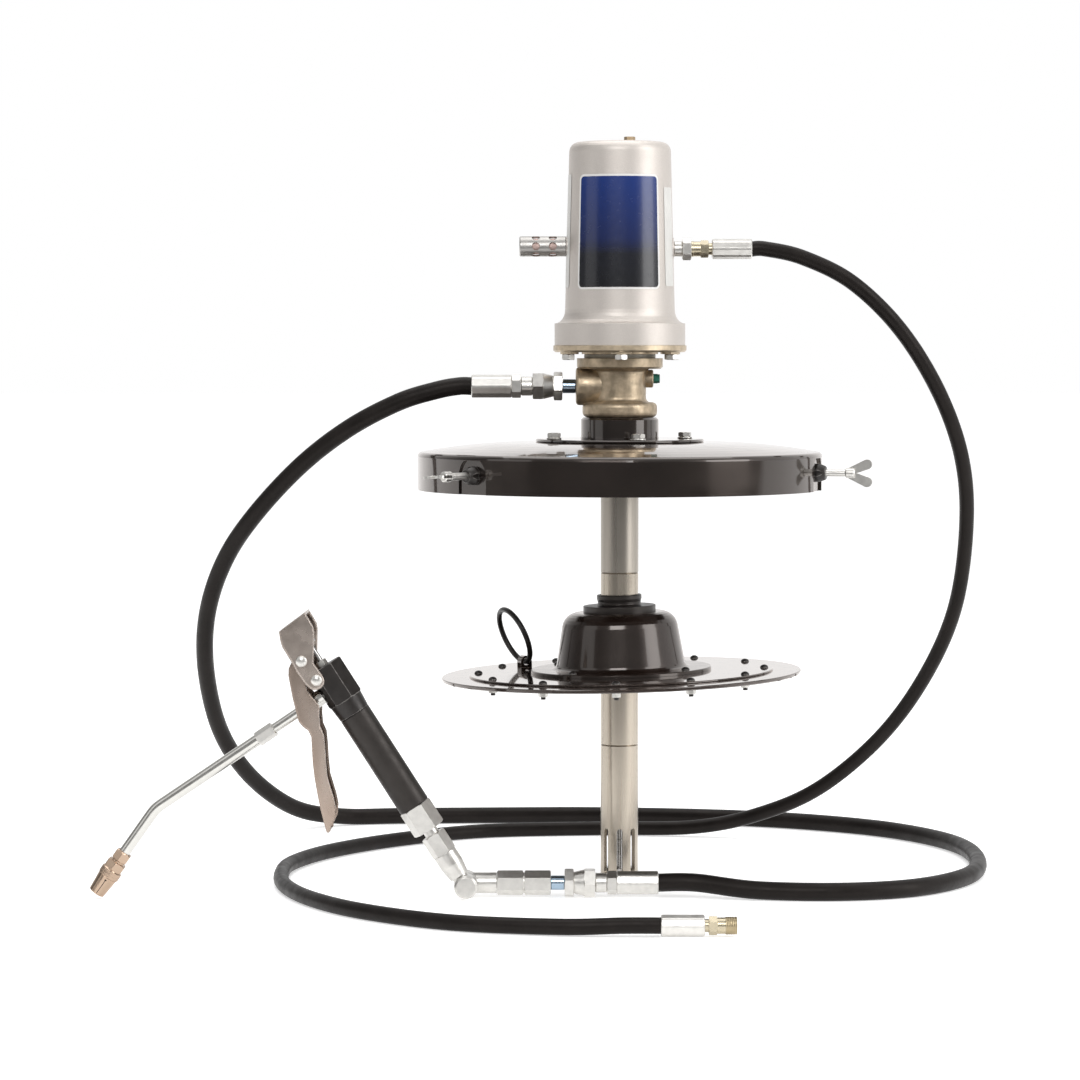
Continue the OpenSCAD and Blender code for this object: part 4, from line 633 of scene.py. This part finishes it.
def bell_patch(name, turns, heights, corner, lift, inset, made):
    """A thin sticker on the bell's cone, with round corners; turns run from the front to the right."""
    low, high = heights[0] + inset, heights[1] - inset
    middle = (turns[0] + turns[1]) / 2
    mean_r = bell_radius((low + high) / 2)
    half = math.radians(turns[1] - turns[0]) / 2 * mean_r - inset
    corner -= inset
    steps = [corner * (1 - math.cos(math.radians(a))) for a in range(0, 91, CORNER_STEP)]
    straight = even_steps(low + corner, high - corner, PATCH_ROWS)[1:-1]
    rows = [low + s for s in steps] + straight + [high - s for s in reversed(steps)]
    vertices, faces = [], []
    for z in rows:
        edge = min(z - low, high - z)
        cut = corner - math.sqrt(max(0, corner**2 - (corner - edge) ** 2)) if edge < corner else 0
        r = bell_radius(z) + lift
        for k in range(PATCH_COLUMNS + 1):
            across = (half - cut) * (2 * k / PATCH_COLUMNS - 1)
            turn = math.radians(middle) + across / mean_r
            vertices.append((r * math.sin(turn), -r * math.cos(turn), z))
    for i in range(len(rows) - 1):
        for k in range(PATCH_COLUMNS):
            a = i * (PATCH_COLUMNS + 1) + k
            faces.append((a, a + 1, a + PATCH_COLUMNS + 2, a + PATCH_COLUMNS + 1))
    new_mesh(name, vertices, faces, made, "pump")


def labels():
    edge = shader("label_edge", (0.80, 0.79, 0.77))
    uneven(edge, 0.35, 150, 0.05)
    colour = (0.70, 0.69, 0.66)
    vinyl = shader("sticker_vinyl", colour, rough=0.4)
    mottle(vinyl, colour, 80, 0.04)
    bell_patch("label_border", LABEL_TURN, LABEL_Z, LABEL_CORNER, STICKER_LIFT, 0, edge)
    bell_patch("label_face", LABEL_TURN, LABEL_Z, LABEL_CORNER, LABEL_LIFT, LABEL_BORDER, label_ink())
    for name, turns, heights in STICKERS:
        bell_patch(name, turns, heights, STICKER_CORNER, STICKER_LIFT, 0, vinyl)


# The CAD nodes' dress


def dress(names, made):
    """Gives CAD nodes one material."""
    for name in names.split():
        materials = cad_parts[name].data.materials
        materials.clear()
        materials.append(made)


def round_lever():
    """Rounds the pressed lever's real edges."""
    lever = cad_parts["trigger_lever"]
    weld = lever.modifiers.new("weld", "WELD")
    weld.merge_threshold = WELD_DISTANCE * MM
    bevel = lever.modifiers.new("soften", "BEVEL")
    bevel.width = LEVER_ROUND * MM
    bevel.segments = LEVER_SEGMENTS
    bevel.limit_method = "ANGLE"
    bevel.angle_limit = math.radians(LEVER_ANGLE)
    bevel.use_clamp_overlap = True
    weighted = lever.modifiers.new("normals", "WEIGHTED_NORMAL")
    weighted.keep_sharp = True


def metals():
    dress("motor_bell", bell_paint())
    dress("outlet_body", cast_bronze())
    dress("motor_base", flange_bronze())
    dress("adapter_collar adapter_plate cover", black_enamel())
    dress("follower_dome", dome_enamel())
    dress("follower_upper_plate follower_lower_plate ring_clip", plate_enamel())
    dress("clamp_nuts follower_bolts lift_ring gun_body", black_oxide())
    dress("exhaust_muffler", steel("muffler_steel", (0.46, 0.445, 0.425), 0.38, (1, 1, 1)))
    dress("riser_tube", steel("stainless_matt", (0.40, 0.365, 0.32), 0.30, (1, 1, 0.03), 0.008))
    dress("lower_cylinder intake_tube", steel("stainless_bright", (0.45, 0.40, 0.335), 0.24, (1, 1, 0.05), 0.005))
    dress(
        "priming_rod piston_rod pump_plunger intake_check valve_stem",
        steel("machined_steel", (0.5, 0.49, 0.48), 0.25),
    )
    dress("air_piston", steel("aluminium_piston", (0.6, 0.6, 0.61), 0.35))
    dress(
        "adapter_bolts base_bolts air_inlet_fitting hose_unions hose_swivel_nuts grease_hose_stems "
        "grease_hose_ferrules air_hose_ferrules swivel_inlet swivel_elbow swivel_yoke gun_adapter gun_nuts "
        "trigger_pin trigger_rivet wing_screw_right wing_screw_left wing_screw_rear follower_nuts",
        plated("bright_zinc", (0.64, 0.625, 0.595), 0.34),
    )
    dress("gun_nozzle", plated("drawn_zinc", (0.60, 0.59, 0.56), 0.2, 0.0004, 0.03))
    dress("union_nipples", plated("blue_zinc", (0.36, 0.46, 0.56), 0.16))
    dress("air_hose_stems", plated("zinc_yellow", (0.50, 0.44, 0.32), 0.28))
    dress("trip_rod", plated("brass_valve", (0.72, 0.58, 0.32), 0.25))
    dress("vent_plug", plated("vent_brass", (0.45, 0.34, 0.22), 0.4))
    dress("muffler_element", plated("sintered_bronze", (0.60, 0.46, 0.42), 0.6, 0.1, 0.15))
    dress(
        "trigger_lever",
        pressed_nickel("lever_nickel", (0.32, 0.24, 0.19), (0.42, 0.345, 0.295), (0.50, 0.44, 0.40)),
    )
    dress(
        "trigger_head",
        pressed_nickel("head_nickel", (0.48, 0.41, 0.36), (0.55, 0.48, 0.43), (0.60, 0.54, 0.50)),
    )
    colour = (0.02, 0.16, 0.11)
    green = shader("ground_green", colour, rough=0.35)
    mottle(green, colour, 300, 0.2)
    dress("ground_screw", green)


def rubbers():
    dress("motor_gasket", rubber("gasket_white", (0.7, 0.68, 0.62), 0.6))
    dress("piston_seal follower_seal", rubber("seal_rubber", (0.012, 0.0095, 0.0085), 0.36))
    dress("follower_wiper", wiper_skin())
    dress("gun_grip", rubber("grip_rubber", (0.0135, 0.0115, 0.0105), 0.45, 900, 0.05))


# Floor and light


def stage():
    """A pale floor that keeps shadows; its own glow makes it white in the picture and in reflections. Seen in
    reflections and in the light it throws back, its near side is painted dark: painted shade for a studio's dim
    front."""
    mesh = bpy.data.meshes.new("floor")
    corners = [(-1, -1), (1, -1), (1, 1), (-1, 1)]
    mesh.from_pydata([(x * FLOOR_HALF, y * FLOOR_HALF, 0) for x, y in corners], [], [(0, 1, 2, 3)])
    made = shader("floor", FLOOR_COLOUR, rough=0.8, Specular_IOR_Level=0.05)
    seen = node(made, "ShaderNodeLightPath").outputs
    place = node(made, "ShaderNodeNewGeometry").outputs["Position"]
    depth = node(made, "ShaderNodeSeparateXYZ", Vector=place).outputs["Y"]
    behind = ranged(made, depth, *FLOOR_BEHIND, FLOOR_DIMMEST, 1.0)
    mirrored = combine(made, "MULTIPLY", seen["Is Glossy Ray"], behind)
    either = combine(made, "MAXIMUM", seen["Is Camera Ray"], mirrored)
    # Painted shade: in all but the camera's rays, the near side's colour turns to FLOOR_SHADE.
    direct = combine(made, "MAXIMUM", seen["Is Camera Ray"], behind)
    give(
        made, Emission_Color=(1, 1, 1), Emission_Strength=combine(made, "MULTIPLY", either, FLOOR_GLOW),
        Base_Color=blend(made, direct, FLOOR_SHADE, FLOOR_COLOUR),
    )
    mesh.materials.append(made)
    placed("floor", mesh)


def light():
    """A white sweep behind the part, a darker studio in front of it, and soft boxes at both sides and above."""
    world = bpy.data.worlds.new("world")
    world.use_nodes = True
    bpy.context.scene.world = world
    around = node(world, "ShaderNodeTexCoord").outputs["Generated"]
    split = node(world, "ShaderNodeSeparateXYZ", Vector=around).outputs

    def level(axis, *span):
        return ranged(world, split[axis], *span, interpolation_type="SMOOTHSTEP")

    most = level(*WORLD_LEVELS[0])
    for row in WORLD_LEVELS[1:]:
        most = combine(world, "MAXIMUM", most, level(*row))
    shaded = combine(world, "MULTIPLY", most, level(*WORLD_SHADE))
    camera_ray = node(world, "ShaderNodeLightPath").outputs["Is Camera Ray"]
    background = world.node_tree.nodes["Background"].inputs
    put(world, background["Color"], (1, 1, 1))
    put(world, background["Strength"], combine(world, "MAXIMUM", shaded, camera_ray))
    for name, place, size, power in LAMPS:
        data = bpy.data.lights.new(name, "AREA")
        data.shape = "RECTANGLE"
        data.size, data.size_y = size
        data.energy = power
        lamp = placed(name, data)
        lamp.location = place
        lamp.rotation_mode = "QUATERNION"
        lamp.rotation_quaternion = (Vector(LAMPS_AIM) - Vector(place)).to_track_quat("-Z", "Y")


make_camera()
hoses()
metals()
round_lever()
rubbers()
labels()
coupler()
coupler_slot()
air_thread()
stage()
light()

scene = bpy.context.scene
scene.view_settings.view_transform = "Standard"
